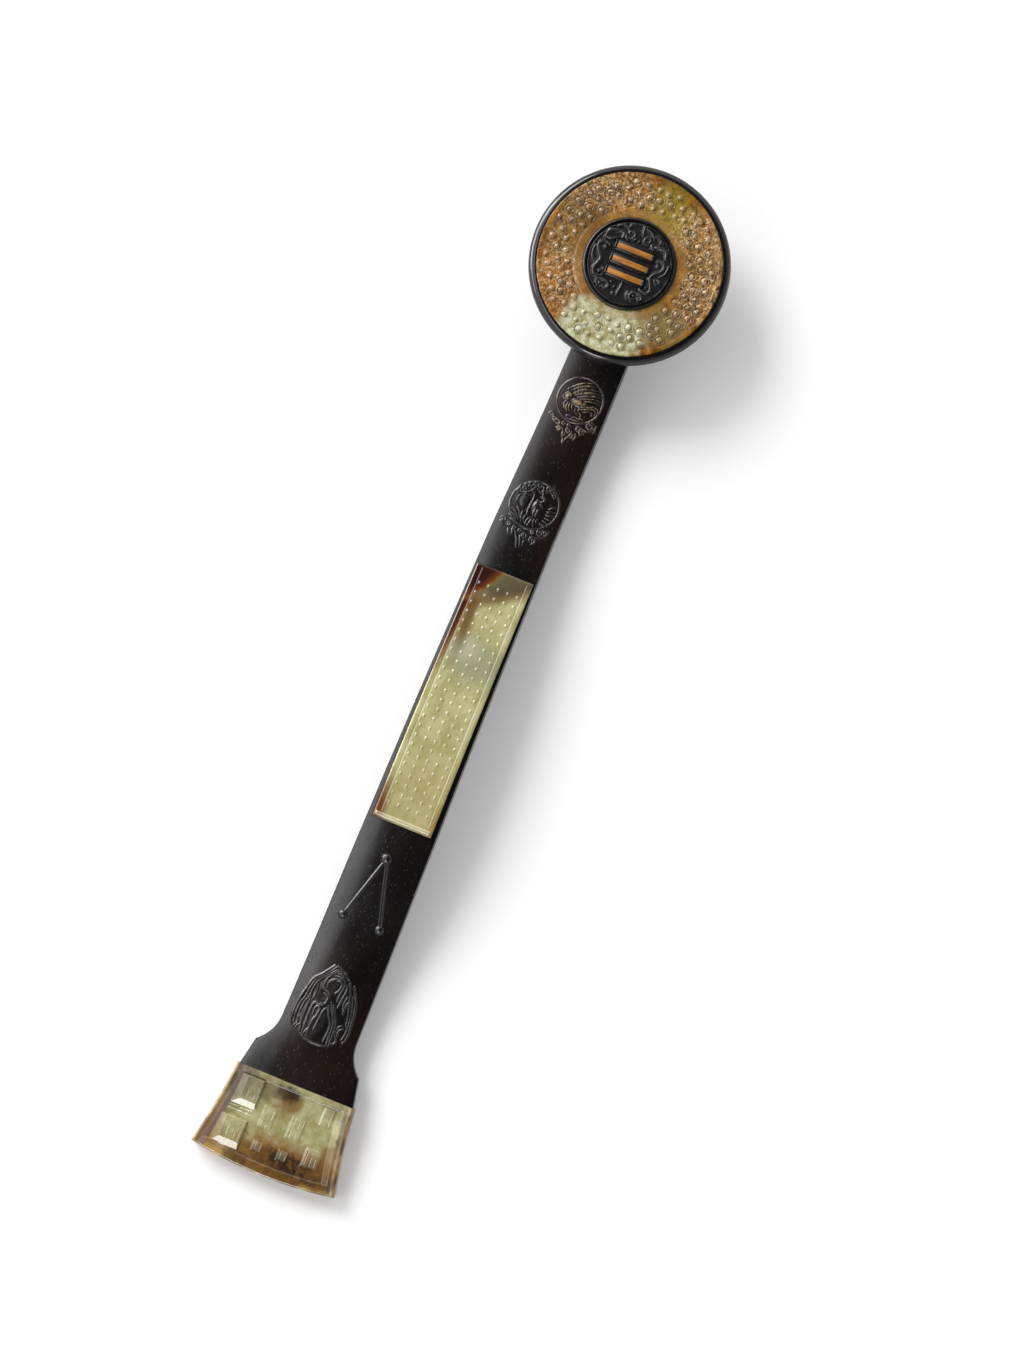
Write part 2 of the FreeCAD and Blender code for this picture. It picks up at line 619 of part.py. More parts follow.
def handle():
    outline = prism_of_edges(shaft_outline(), 0, TOOL_REACH)
    shaft = crowned_slab(0.0).common(outline)
    shaft = shaft.makeChamfer(FACE_EDGE_CHAMFER, face_edges(shaft))
    seat = Part.makeBox(
        TOOL_REACH, 2 * TOOL_REACH, TOOL_REACH, Vector(SEAT_SAWN_FROM_X, -TOOL_REACH, TRAY_UNDERSIDE_Z))
    shaft = shaft.cut(seat)
    raised = crowned_slab(RELIEF_HEIGHT)
    relief = [tool.common(raised) for tool in relief_tools()]
    stars = [star(place) for place in star_places()]
    shaft = shaft.fuse(relief + stars)
    tenon = Part.makeBox(
        TENON_LENGTH + TENON_THICKNESS, TENON_WIDTH, TENON_THICKNESS,
        Vector(JUNCTION_X - TENON_LENGTH, -TENON_WIDTH / 2, TENON_MIDDLE_Z - TENON_THICKNESS / 2))
    shaft = shaft.fuse(tenon)
    recess = plaque_band(PLAQUE_PROUD + TOOL_REACH, PLAQUE_IN_SHAFT).common(plaque_plan(LET_IN_CLEARANCE))
    holes = []
    for x in dowel_places().values():
        holes.append(upright_cylinder(
            DOWEL_RADIUS + LET_IN_CLEARANCE, TRAY_UNDERSIDE_Z - DOWEL_IN_NECK, TRAY_UNDERSIDE_Z, x))
    return shaft.cut([recess] + holes)


# ---------------------------------------------------------------- head

def rounding(start, end):
    """Points of a quarter ellipse in the plane y = 0; it leaves start level and reaches end upright."""
    points = []
    for step in range(TURNED_STEPS + 1):
        turn = math.pi / 2 * step / TURNED_STEPS
        points.append(Vector(
            start[0] + (end[0] - start[0]) * math.sin(turn), 0,
            end[1] - (end[1] - start[1]) * math.cos(turn)))
    return points


def head_dish():
    inner = TRAY_RADIUS - TRAY_RIM_WIDTH
    widest = (TRAY_RADIUS, TRAY_TOP_Z - TRAY_WIDEST_BELOW_TOP)
    profile = [Vector(0, 0, TRAY_UNDERSIDE_Z)]
    profile += rounding((TRAY_FLAT_RADIUS, TRAY_UNDERSIDE_Z), widest)
    profile += reversed(rounding((inner + TRAY_RIM_FLAT, TRAY_TOP_Z), widest)[:-1])
    profile += [Vector(inner, 0, TRAY_TOP_Z), Vector(inner, 0, TRAY_FLOOR_Z), Vector(0, 0, TRAY_FLOOR_Z)]
    dish = Part.Face(Part.makePolygon(profile + [profile[0]])).revolve(Vector(0, 0, 0), UP, 360)
    dish.translate(Vector(HEAD_X, 0, 0))
    holes = [upright_cylinder(
        BOSS_PEG_RADIUS + LET_IN_CLEARANCE, TRAY_FLOOR_Z - BOSS_PEG_IN_TRAY, TRAY_FLOOR_Z, HEAD_X)]
    for x in dowel_places().values():
        holes.append(upright_cylinder(
            DOWEL_RADIUS + LET_IN_CLEARANCE, TRAY_UNDERSIDE_Z, TRAY_UNDERSIDE_Z + DOWEL_IN_TRAY, x))
    return dish.cut(holes)


def jade_disc():
    ground_z = TRAY_TOP_Z - DISC_BORDER_HEIGHT
    disc = ring(DISC_RADIUS, DISC_HOLE_RADIUS, TRAY_FLOOR_Z, TRAY_TOP_Z, HEAD_X)
    ground_outer = DISC_RADIUS - DISC_OUTER_BORDER
    ground_inner = DISC_HOLE_RADIUS + DISC_INNER_BORDER
    disc = disc.cut(ring(ground_outer, ground_inner, ground_z, TRAY_TOP_Z, HEAD_X))
    grain = faceted_grain(DISC_GRAIN_SIDES, DISC_GRAIN_RADIUS, DISC_GRAIN_TOP_RADIUS, DISC_GRAIN_HEIGHT)
    row_step = DISC_GRAIN_SPACING * math.sqrt(3) / 2
    rows = int(ground_outer / row_step) + 1
    grains = []
    for row in range(-rows, rows + 1):
        stagger = DISC_GRAIN_SPACING / 2 if row % 2 else 0.0
        for column in range(-rows - 1, rows + 2):
            x = row * row_step
            y = column * DISC_GRAIN_SPACING + stagger
            reach = math.hypot(x, y)
            if ground_inner + DISC_GRAIN_RADIUS < reach < ground_outer - DISC_GRAIN_RADIUS:
                one = grain.copy()
                one.translate(Vector(HEAD_X + x, y, ground_z))
                grains.append(one)
    return disc.fuse(grains)


def bar_places():
    return {
        "inlay_bar_upper": HEAD_X + BAR_SPACING,
        "inlay_bar_middle": HEAD_X,
        "inlay_bar_lower": HEAD_X - BAR_SPACING,
    }


def bar_box(x, grown, low, high):
    width = BAR_WIDTH + 2 * grown
    length = BAR_LENGTH + 2 * grown
    return Part.makeBox(width, length, high - low, Vector(x - width / 2, -length / 2, low))


def centre_boss():
    boss = upright_cylinder(BOSS_RADIUS, TRAY_FLOOR_Z, BOSS_TOP_Z, HEAD_X)
    ground = upright_cylinder(BOSS_RADIUS - BOSS_RIM_WIDTH, BOSS_GROUND_Z, BOSS_TOP_Z, HEAD_X)
    boss = boss.cut(ground)
    frames = [bar_box(x, BAR_FRAME_WIDTH, BOSS_GROUND_Z, BOSS_TOP_Z) for x in bar_places().values()]
    boss = boss.fuse(frames)
    slots = [bar_box(x, LET_IN_CLEARANCE, BOSS_TOP_Z - BAR_DEPTH, BOSS_TOP_Z) for x in bar_places().values()]
    peg_hole = upright_cylinder(
        BOSS_PEG_RADIUS + LET_IN_CLEARANCE, TRAY_FLOOR_Z, TRAY_FLOOR_Z + BOSS_PEG_IN_BOSS, HEAD_X)
    return boss.cut(slots + [peg_hole])


# ---------------------------------------------------------------- build

os.makedirs("parts", exist_ok=True)
write(handle(), "handle")
write(head_dish(), "head_dish")
write(jade_disc(), "jade_disc")
write(centre_boss(), "centre_boss")
for name, place in bar_places().items():
    write(bar_box(place, 0.0, BOSS_TOP_Z - BAR_DEPTH, BOSS_TOP_Z), name)
write(upright_cylinder(
    BOSS_PEG_RADIUS, TRAY_FLOOR_Z - BOSS_PEG_IN_TRAY, TRAY_FLOOR_Z + BOSS_PEG_IN_BOSS, HEAD_X), "boss_peg")
for name, place in dowel_places().items():
    write(upright_cylinder(
        DOWEL_RADIUS, TRAY_UNDERSIDE_Z - DOWEL_IN_NECK, TRAY_UNDERSIDE_Z + DOWEL_IN_TRAY, place), name)
write(jade_plaque(), "jade_plaque")
write(jade_chape(), "jade_chape")
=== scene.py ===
import math
import random

import bpy
import numpy as np
from mathutils import Matrix, Vector


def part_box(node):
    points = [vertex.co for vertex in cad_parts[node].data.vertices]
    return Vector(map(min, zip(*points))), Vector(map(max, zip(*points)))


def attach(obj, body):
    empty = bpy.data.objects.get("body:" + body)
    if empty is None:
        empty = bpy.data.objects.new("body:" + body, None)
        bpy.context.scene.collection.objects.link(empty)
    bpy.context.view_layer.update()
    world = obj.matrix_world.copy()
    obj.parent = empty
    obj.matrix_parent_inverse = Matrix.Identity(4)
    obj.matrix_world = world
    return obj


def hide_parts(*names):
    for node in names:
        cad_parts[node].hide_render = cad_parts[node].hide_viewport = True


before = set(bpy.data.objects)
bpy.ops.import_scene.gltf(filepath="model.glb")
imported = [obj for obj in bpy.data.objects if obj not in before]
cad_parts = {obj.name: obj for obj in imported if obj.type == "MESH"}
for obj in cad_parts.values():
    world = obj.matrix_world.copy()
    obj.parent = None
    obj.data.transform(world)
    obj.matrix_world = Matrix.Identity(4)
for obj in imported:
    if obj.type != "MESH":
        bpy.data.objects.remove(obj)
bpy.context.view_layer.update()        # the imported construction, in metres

# A ruyi scepter of dark zitan wood, mounted with three pieces of old jade. X runs from the foot
# to the head, Z is up, and the picture's right is -Y. Sizes are in metres, except in what is
# carved: that is drawn in millimetres, to the right and up from the middle of each motif.

MM = 0.001
HAIR = 1e-6              # keeps a surface just inside its solid's box
WELD = 1e-7              # vertices this close are one vertex

# ---------------------------------------------------------------- places taken from the frame

dish_low, dish_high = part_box("head_dish")
disc_low, disc_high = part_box("jade_disc")
boss_low, boss_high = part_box("centre_boss")
plaque_low, plaque_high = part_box("jade_plaque")
chape_low, chape_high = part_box("jade_chape")

HEAD_X = (dish_low.x + dish_high.x) / 2
TRAY_RADIUS = (dish_high.x - dish_low.x) / 2
TRAY_TOP_Z = dish_high.z
TRAY_UNDERSIDE_Z = dish_low.z
TRAY_FLOOR_Z = disc_low.z
DISC_RADIUS = (disc_high.x - disc_low.x) / 2
BOSS_RADIUS = (boss_high.x - boss_low.x) / 2
BOSS_TOP_Z = boss_high.z - HAIR
PLAQUE_FOOT_X = plaque_low.x
PLAQUE_HEAD_X = plaque_high.x
JUNCTION_X = chape_high.x
FOOT_TIP_X = chape_low.x
NECK_TIP_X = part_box("handle")[1].x

# ---------------------------------------------------------------- shapes of the construction

# Level places of the shaft's upper and lower lines; two equal arcs join each pair.
FOOT_THICKNESS = 0.0085
FOOT_FLAT_LENGTH = 0.012
CREST_X = -0.035
CREST_UNDERSIDE_Z = 0.010
CREST_TOP_Z = 0.022
HEEL_X = HEAD_X - 0.0716
HEEL_THICKNESS = 0.013
SEAT_START_X = HEEL_X + 0.043
SEAT_TOP_Z = TRAY_UNDERSIDE_Z + 0.0008
SEAT_SAWN_FROM_X = SEAT_START_X - 0.004
PLANED_OFF = 0.00035
NECK_TIP_UNDERSIDE_Z = TRAY_UNDERSIDE_Z - 0.005
TOP_LEVELS = [
    (JUNCTION_X, FOOT_THICKNESS),
    (JUNCTION_X + FOOT_FLAT_LENGTH, FOOT_THICKNESS),
    (CREST_X, CREST_TOP_Z),
    (HEEL_X, HEEL_THICKNESS),
    (SEAT_START_X, SEAT_TOP_Z),
    (NECK_TIP_X, SEAT_TOP_Z),
]
UNDERSIDE_LEVELS = [
    (JUNCTION_X, -PLANED_OFF),
    (JUNCTION_X + FOOT_FLAT_LENGTH, -PLANED_OFF),
    (CREST_X, CREST_UNDERSIDE_Z),
    (HEEL_X, -PLANED_OFF),
    (NECK_TIP_X, NECK_TIP_UNDERSIDE_Z),
]

NECK_HALF_WIDTH = 0.0114
NECK_WIDTH_X = HEAD_X - 0.0426
COVE_HALF_WIDTH = 0.01545
COVE_START_X = JUNCTION_X + 0.0236
COVE_RADIUS = 0.016
COVE_LENGTH = 0.0125
FOOT_FLARE = 0.0022
SHAFT_CROWN_RADIUS = 0.095
FOOT_CROWN_RADIUS = 0.260
# How far the middle line strays, from which x, and over what length it grows.
FOOT_LEAN = (0.0007, -0.060, 0.100)
NECK_LEAN = (0.0020, 0.058, 0.082)

PLAQUE_HALF_WIDTH_AT_FOOT = 0.01215
PLAQUE_HALF_WIDTH_AT_HEAD = 0.0118
PLAQUE_IN_SHAFT = 0.0036
PLAQUE_PROUD = 0.0007
PLAQUE_PITCH = 0.004
PLAQUE_ROWS = 24
PLAQUE_COLUMNS = 5
LET_IN_CLEARANCE = 0.00005

CHAPE_HALF_WIDTH_AT_SHAFT = 0.0245
CHAPE_HALF_WIDTH_AT_TIP = 0.0300
CHAPE_TIP_BOW = 0.0027
CHAPE_SIDE_HOLLOW = 0.0007
CHAPE_TIP_THICKNESS = 0.0070

DISC_HOLE_RADIUS = 0.0181
TRAY_RIM_WIDTH = 0.0031


def height_on(levels, x):
    """Height at every x of the waved line through the level places."""
    x = np.asarray(x, float)
    height = np.full(x.shape, levels[-1][1])
    for (low_x, low_z), (high_x, high_z) in zip(levels, levels[1:]):
        part = np.full(x.shape, low_z)
        if low_z != high_z:
            radius = ((high_x - low_x) ** 2 + (high_z - low_z) ** 2) / (4 * abs(high_z - low_z))
            rising = math.copysign(1.0, high_z - low_z)
            from_low = radius - np.sqrt(np.maximum(radius ** 2 - (x - low_x) ** 2, 0))
            from_high = radius - np.sqrt(np.maximum(radius ** 2 - (high_x - x) ** 2, 0))
            first_half = x < (low_x + high_x) / 2
            part = np.where(first_half, low_z + rising * from_low, high_z - rising * from_high)
        height = np.where((x >= low_x) & (x <= high_x), part, height)
    return height


def lean(x):
    """How far the handle's middle line strays to the left: the real one isn't quite straight."""
    foot_lean, foot_x, foot_length = FOOT_LEAN
    neck_lean, neck_x, neck_length = NECK_LEAN
    at_foot = foot_lean * np.clip((foot_x - x) / foot_length, 0, 1)
    at_neck = neck_lean * np.clip((x - neck_x) / neck_length, 0, 1)
    return at_foot - at_neck


def shaft_top(x, y):
    """Height of the shaft's crowned upper face."""
    y = y - lean(x)
    over_foot = np.clip((COVE_START_X - x) / (COVE_START_X - JUNCTION_X), 0, 1)
    radius = SHAFT_CROWN_RADIUS + over_foot * (FOOT_CROWN_RADIUS - SHAFT_CROWN_RADIUS)
    top = height_on(TOP_LEVELS, x) - (radius - np.sqrt(radius ** 2 - y ** 2))
    return np.where(x > SEAT_SAWN_FROM_X, np.minimum(top, TRAY_UNDERSIDE_Z), top)


def shaft_half_width(x):
    """Half the width of the handle: a straight taper, coves, a flared foot and a round tip."""
    taper = (NECK_HALF_WIDTH - COVE_HALF_WIDTH) / (NECK_WIDTH_X - COVE_START_X)
    half = COVE_HALF_WIDTH + taper * (x - COVE_START_X)
    shoulder_x = COVE_START_X - COVE_LENGTH
    in_cove = np.clip(COVE_START_X - x, 0, COVE_LENGTH)
    cove = COVE_HALF_WIDTH + COVE_RADIUS - np.sqrt(COVE_RADIUS ** 2 - in_cove ** 2)
    flare = FOOT_FLARE * np.clip((shoulder_x - x) / (shoulder_x - JUNCTION_X), 0, 1)
    half = np.where(x < COVE_START_X, cove + flare, half)
    tip_radius = COVE_HALF_WIDTH + taper * (NECK_TIP_X - COVE_START_X)
    past = np.clip((x - (NECK_TIP_X - tip_radius)) / tip_radius, 0, 1)
    return half * np.sqrt(1 - past ** 2)


def plaque_half_width(x):
    share = (x - PLAQUE_FOOT_X) / (PLAQUE_HEAD_X - PLAQUE_FOOT_X)
    return PLAQUE_HALF_WIDTH_AT_FOOT + share * (PLAQUE_HALF_WIDTH_AT_HEAD - PLAQUE_HALF_WIDTH_AT_FOOT)


# ---------------------------------------------------------------- modelling helpers

def deselect():
    bpy.ops.object.select_all(action="DESELECT")


def choose(piece):
    """Selects one piece alone and makes it the active one."""
    deselect()
    piece.select_set(True)
    bpy.context.view_layer.objects.active = piece


def added(name):
    """The piece that was added last, under its name and with its place and size applied."""
    piece = bpy.context.active_object
    piece.name = name
    bpy.ops.object.transform_apply(location=True, rotation=True, scale=True)
    return piece


def into_edit(piece, kind="VERT", action="DESELECT"):
    """Opens one piece in edit mode, with nothing or with all of it selected."""
    choose(piece)
    bpy.ops.object.mode_set(mode="EDIT")
    bpy.ops.mesh.select_mode(type=kind)
    bpy.ops.mesh.select_all(action=action)


def out_of_edit():
    bpy.ops.object.mode_set(mode="OBJECT")


def points_of(piece):
    flat = np.empty(len(piece.data.vertices) * 3, np.float32)
    piece.data.vertices.foreach_get("co", flat)
    return flat.reshape(-1, 3).astype(float)


def move_points(piece, points):
    piece.data.vertices.foreach_set("co", points.astype(np.float32).ravel())
    piece.data.update()


def set_height_of_chosen(piece, height):
    """Sets the selected vertices to a height, which is worked out from their x and y."""
    chosen = np.empty(len(piece.data.vertices), bool)
    piece.data.vertices.foreach_get("select", chosen)
    points = points_of(piece)
    points[chosen, 2] = height(points[chosen, 0], points[chosen, 1])
    move_points(piece, points)


def grid(name, along, across):
    """A flat grid of so many cells; returns it with each vertex's share along and across."""
    deselect()
    bpy.ops.mesh.primitive_grid_add(x_subdivisions=along, y_subdivisions=across, size=1)
    piece = added(name)
    shares = points_of(piece)[:, :2] + 0.5
    return piece, shares[:, 0], shares[:, 1]


def carry(piece, name, values):
    """Keeps a value in millimetres on the mesh, such as how high its carving stands there."""
    carried = piece.data.attributes.new(name, "FLOAT", "POINT")
    carried.data.foreach_set("value", np.asarray(values, np.float32))


def close_below(piece, level, holed=False):
    """Runs the open rims of a sheet straight down and closes them at a level."""
    into_edit(piece, action="SELECT")
    bpy.ops.mesh.remove_doubles(threshold=WELD)
    bpy.ops.mesh.select_mode(type="EDGE")
    bpy.ops.mesh.select_non_manifold(extend=False, use_wire=False, use_multi_face=False,
                                     use_non_contiguous=False, use_verts=False)
    bpy.ops.mesh.extrude_edges_move(TRANSFORM_OT_translate={"value": (0, 0, -MM)})
    out_of_edit()
    set_height_of_chosen(piece, lambda x, y: level)
    bpy.ops.object.mode_set(mode="EDIT")
    if holed:
        bpy.ops.mesh.bridge_edge_loops()
    else:
        bpy.ops.mesh.edge_face_add()
    out_of_edit()
    face_outwards(piece)


def give_underside(piece, underside):
    """Extrudes a whole sheet down, so that it is a closed solid over the underside's height."""
    into_edit(piece, action="SELECT")
    bpy.ops.mesh.extrude_region_move(TRANSFORM_OT_translate={"value": (0, 0, -MM)})
    out_of_edit()
    set_height_of_chosen(piece, underside)
    face_outwards(piece)


def face_outwards(piece, weld=WELD):
    """Welds what lies together and turns every face's front outwards."""
    into_edit(piece, action="SELECT")
    bpy.ops.mesh.remove_doubles(threshold=weld)
    bpy.ops.mesh.normals_make_consistent(inside=False)
    out_of_edit()


def bevel_sharp_edges(piece, width, segments=3, angle=35):
    modifier = piece.modifiers.new("rounded edges", "BEVEL")
    modifier.width = width
    modifier.segments = segments
    modifier.limit_method = "ANGLE"
    modifier.angle_limit = math.radians(angle)
    choose(piece)
    bpy.ops.object.modifier_apply(modifier=modifier.name)


def turned(name, profile, centre_x, sides):
    """A closed profile of (radius, z) turned round the upright axis at centre_x."""
    deselect()
    radius, z = profile[0]
    centre = Vector((centre_x, 0, 0))
    bpy.ops.mesh.primitive_circle_add(vertices=sides, radius=radius, location=(centre_x, 0, z))
    piece = added(name)
    into_edit(piece, action="SELECT")
    for next_radius, next_z in profile[1:] + profile[:1]:
        bpy.ops.mesh.extrude_region_move(TRANSFORM_OT_translate={"value": (0, 0, next_z - z)})
        scale = next_radius / radius
        bpy.ops.transform.resize(value=(scale, scale, 1), center_override=centre)
        radius, z = next_radius, next_z
    out_of_edit()
    face_outwards(piece, 2 * HAIR)
    return piece


def bevelled_block(name, low, high, width):
    """A box between two corners with rounded edges."""
    deselect()
    low, high = Vector(low), Vector(high)
    bpy.ops.mesh.primitive_cube_add(size=1, location=(low + high) / 2, scale=high - low)
    piece = added(name)
    bevel_sharp_edges(piece, width, 2)
    return piece


def joined(pieces, name):
    deselect()
    for piece in pieces:
        piece.select_set(True)
    bpy.context.view_layer.objects.active = pieces[0]
    bpy.ops.object.join()
    pieces[0].name = name
    return pieces[0]


def finished(piece, material, nodes=(), angle=30):
    """Shades a piece, gives it its finish and puts it in its place in the assembly."""
    choose(piece)
    bpy.ops.object.shade_smooth_by_angle(angle=math.radians(angle))
    piece.data.materials.clear()
    piece.data.materials.append(material)
    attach(piece, "root")
    if nodes:
        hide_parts(*nodes)
    return piece


# ---------------------------------------------------------------- carving helpers

RIDGE_ROUNDNESS = 0.8
CURL_WINDS_IN = 0.72


def smooth_line(points, per_span=5):
    """More points on a flowing line through the given ones."""
    ends = [points[0]] + list(points) + [points[-1]]
    line = []
    for a, b, c, d in zip(ends, ends[1:], ends[2:], ends[3:]):
        for step in range(per_span):
            t = step / per_span
            line.append([
                0.5 * (2 * b[k] + (c[k] - a[k]) * t + (2 * a[k] - 5 * b[k] + 4 * c[k] - d[k]) * t ** 2
                       + (3 * b[k] - a[k] - 3 * c[k] + d[k]) * t ** 3) for k in (0, 1)])
    line.append(list(points[-1]))
    return line


def curl_line(centre, radius, start, turns):
    """A spiral that winds in from its radius; turns is negative for a left-hand one."""
    line = []
    steps = max(6, int(abs(turns) * 10))
    for step in range(steps + 1):
        share = step / steps
        angle = math.radians(start) + 2 * math.pi * turns * share
        reach = radius * (1 - CURL_WINDS_IN * share)
        line.append((centre[0] + reach * math.cos(angle), centre[1] + reach * math.sin(angle)))
    return line


def arch(distance, width):
    """1 on the middle line of a ridge or groove of this width, and 0 from its sides on."""
    return np.maximum(1 - (2 * distance / width) ** 2, 0)


class Carving:
    """Heights of a low relief over places given in millimetres right and up of its middle."""

    def __init__(self, right, up):
        self.right = right
        self.up = up
        self.rise = np.zeros(len(right))

    def raise_to(self, chosen, rise):
        self.rise[chosen] = np.maximum(self.rise[chosen], rise)

    def near(self, low, high, reach):
        inside = (self.right > low[0] - reach) & (self.right < high[0] + reach)
        inside &= (self.up > low[1] - reach) & (self.up < high[1] + reach)
        return np.nonzero(inside)[0]

    def stroke(self, points, width, height, thin=0.45, smooth=True):
        """A rounded ridge along a line, thinner and lower towards its ends."""
        line = np.array(smooth_line(points) if smooth else points, float)
        chosen = self.near(line.min(0), line.max(0), width)
        if not len(chosen):
            return
        spans = np.diff(line, axis=0)
        lengths = np.maximum(np.hypot(spans[:, 0], spans[:, 1]), 1e-9)
        starts = np.concatenate([[0], np.cumsum(lengths)])
        here = np.stack([self.right[chosen], self.up[chosen]], 1)
        best = np.zeros(len(chosen))
        for start, span, length, before in zip(line, spans, lengths, starts):
            away = here - start
            along = np.clip((away @ span) / length ** 2, 0, 1)
            distance = np.hypot(*(away - along[:, None] * span).T)
            share = (before + along * length) / starts[-1]
            fade = 1 - thin * np.abs(2 * share - 1) ** 2.5
            best = np.maximum(best, height * fade * arch(distance, width * fade) ** RIDGE_ROUNDNESS)
        self.raise_to(chosen, best)

    def strokes(self, drawings, height, wider=1.0, thin=0.45):
        for width, points in drawings:
            self.stroke(points, width * wider, height, thin)

    def dome(self, centre, size, height, turn=0.0, power=0.6):
        """An oval mound; a smaller power gives steeper sides and a flatter top."""
        reach = max(size)
        chosen = self.near(centre, centre, reach)
        angle = math.radians(turn)
        right = self.right[chosen] - centre[0]
        up = self.up[chosen] - centre[1]
        along = right * math.cos(angle) + up * math.sin(angle)
        across = up * math.cos(angle) - right * math.sin(angle)
        inside = 1 - (2 * along / size[0]) ** 2 - (2 * across / size[1]) ** 2
        self.raise_to(chosen, height * np.maximum(inside, 0) ** power)

    def curl(self, centre, radius, start, turns, width, height):
        self.stroke(curl_line(centre, radius, start, turns), width, height, 0.4, False)

    def hand_cut(self, seed, share):
        """Lets the ridges swell and sink a little, as the knife leaves them."""
        chance = random.Random(seed)
        swell = np.zeros(len(self.rise))
        for _ in range(7):
            angle = chance.uniform(0, 2 * math.pi)
            length = chance.uniform(*SWELL_LENGTHS)
            along = self.right * math.cos(angle) + self.up * math.sin(angle)
            swell += np.sin(2 * math.pi * along / length + chance.uniform(0, 2 * math.pi))
        self.rise = self.rise * (1 + share * np.clip(swell / 3, -1, 1))

    def ring(self, centre, radius, width, height):
        distance = np.abs(np.hypot(self.right - centre[0], self.up - centre[1]) - radius)
        self.rise = np.maximum(self.rise, height * arch(distance, width) ** RIDGE_ROUNDNESS)


CARVING_SUNK = 0.00006
CARVING_ROOT = 0.0006
CARVING_SWELL = 0.18
SWELL_LENGTHS = (3.0, 8.0)
CARVED_CELL = 0.125


def carved_piece(name, middle_x, low, high, draw, swell):
    """A relief that stands on the shaft, between two corners in millimetres from its middle."""
    wide, tall = high[0] - low[0], high[1] - low[1]
    piece, share_up, share_right = grid(name, int(tall / CARVED_CELL), int(wide / CARVED_CELL))
    up = low[1] + share_up * tall
    right = high[0] - share_right * wide
    carving = Carving(right, up)
    draw(carving)
    carving.hand_cut(len(name), swell)
    x = middle_x + up * MM
    y = -right * MM + lean(x)
    z = shaft_top(x, y) - CARVING_SUNK
    move_points(piece, np.stack([x, y, z + carving.rise * MM], 1))
    carry(piece, "ridge", carving.rise)
    close_below(piece, z.min() - CARVING_ROOT)
    return piece


# ---------------------------------------------------------------- finishes

def srgb(red, green, blue):
    """A colour written as 0 to 255 in the picture's own terms, made linear."""
    linear = []
    for value in (red, green, blue):
        value /= 255
        linear.append(value / 12.92 if value <= 0.04045 else ((value + 0.055) / 1.055) ** 2.4)
    return (*linear, 1.0)


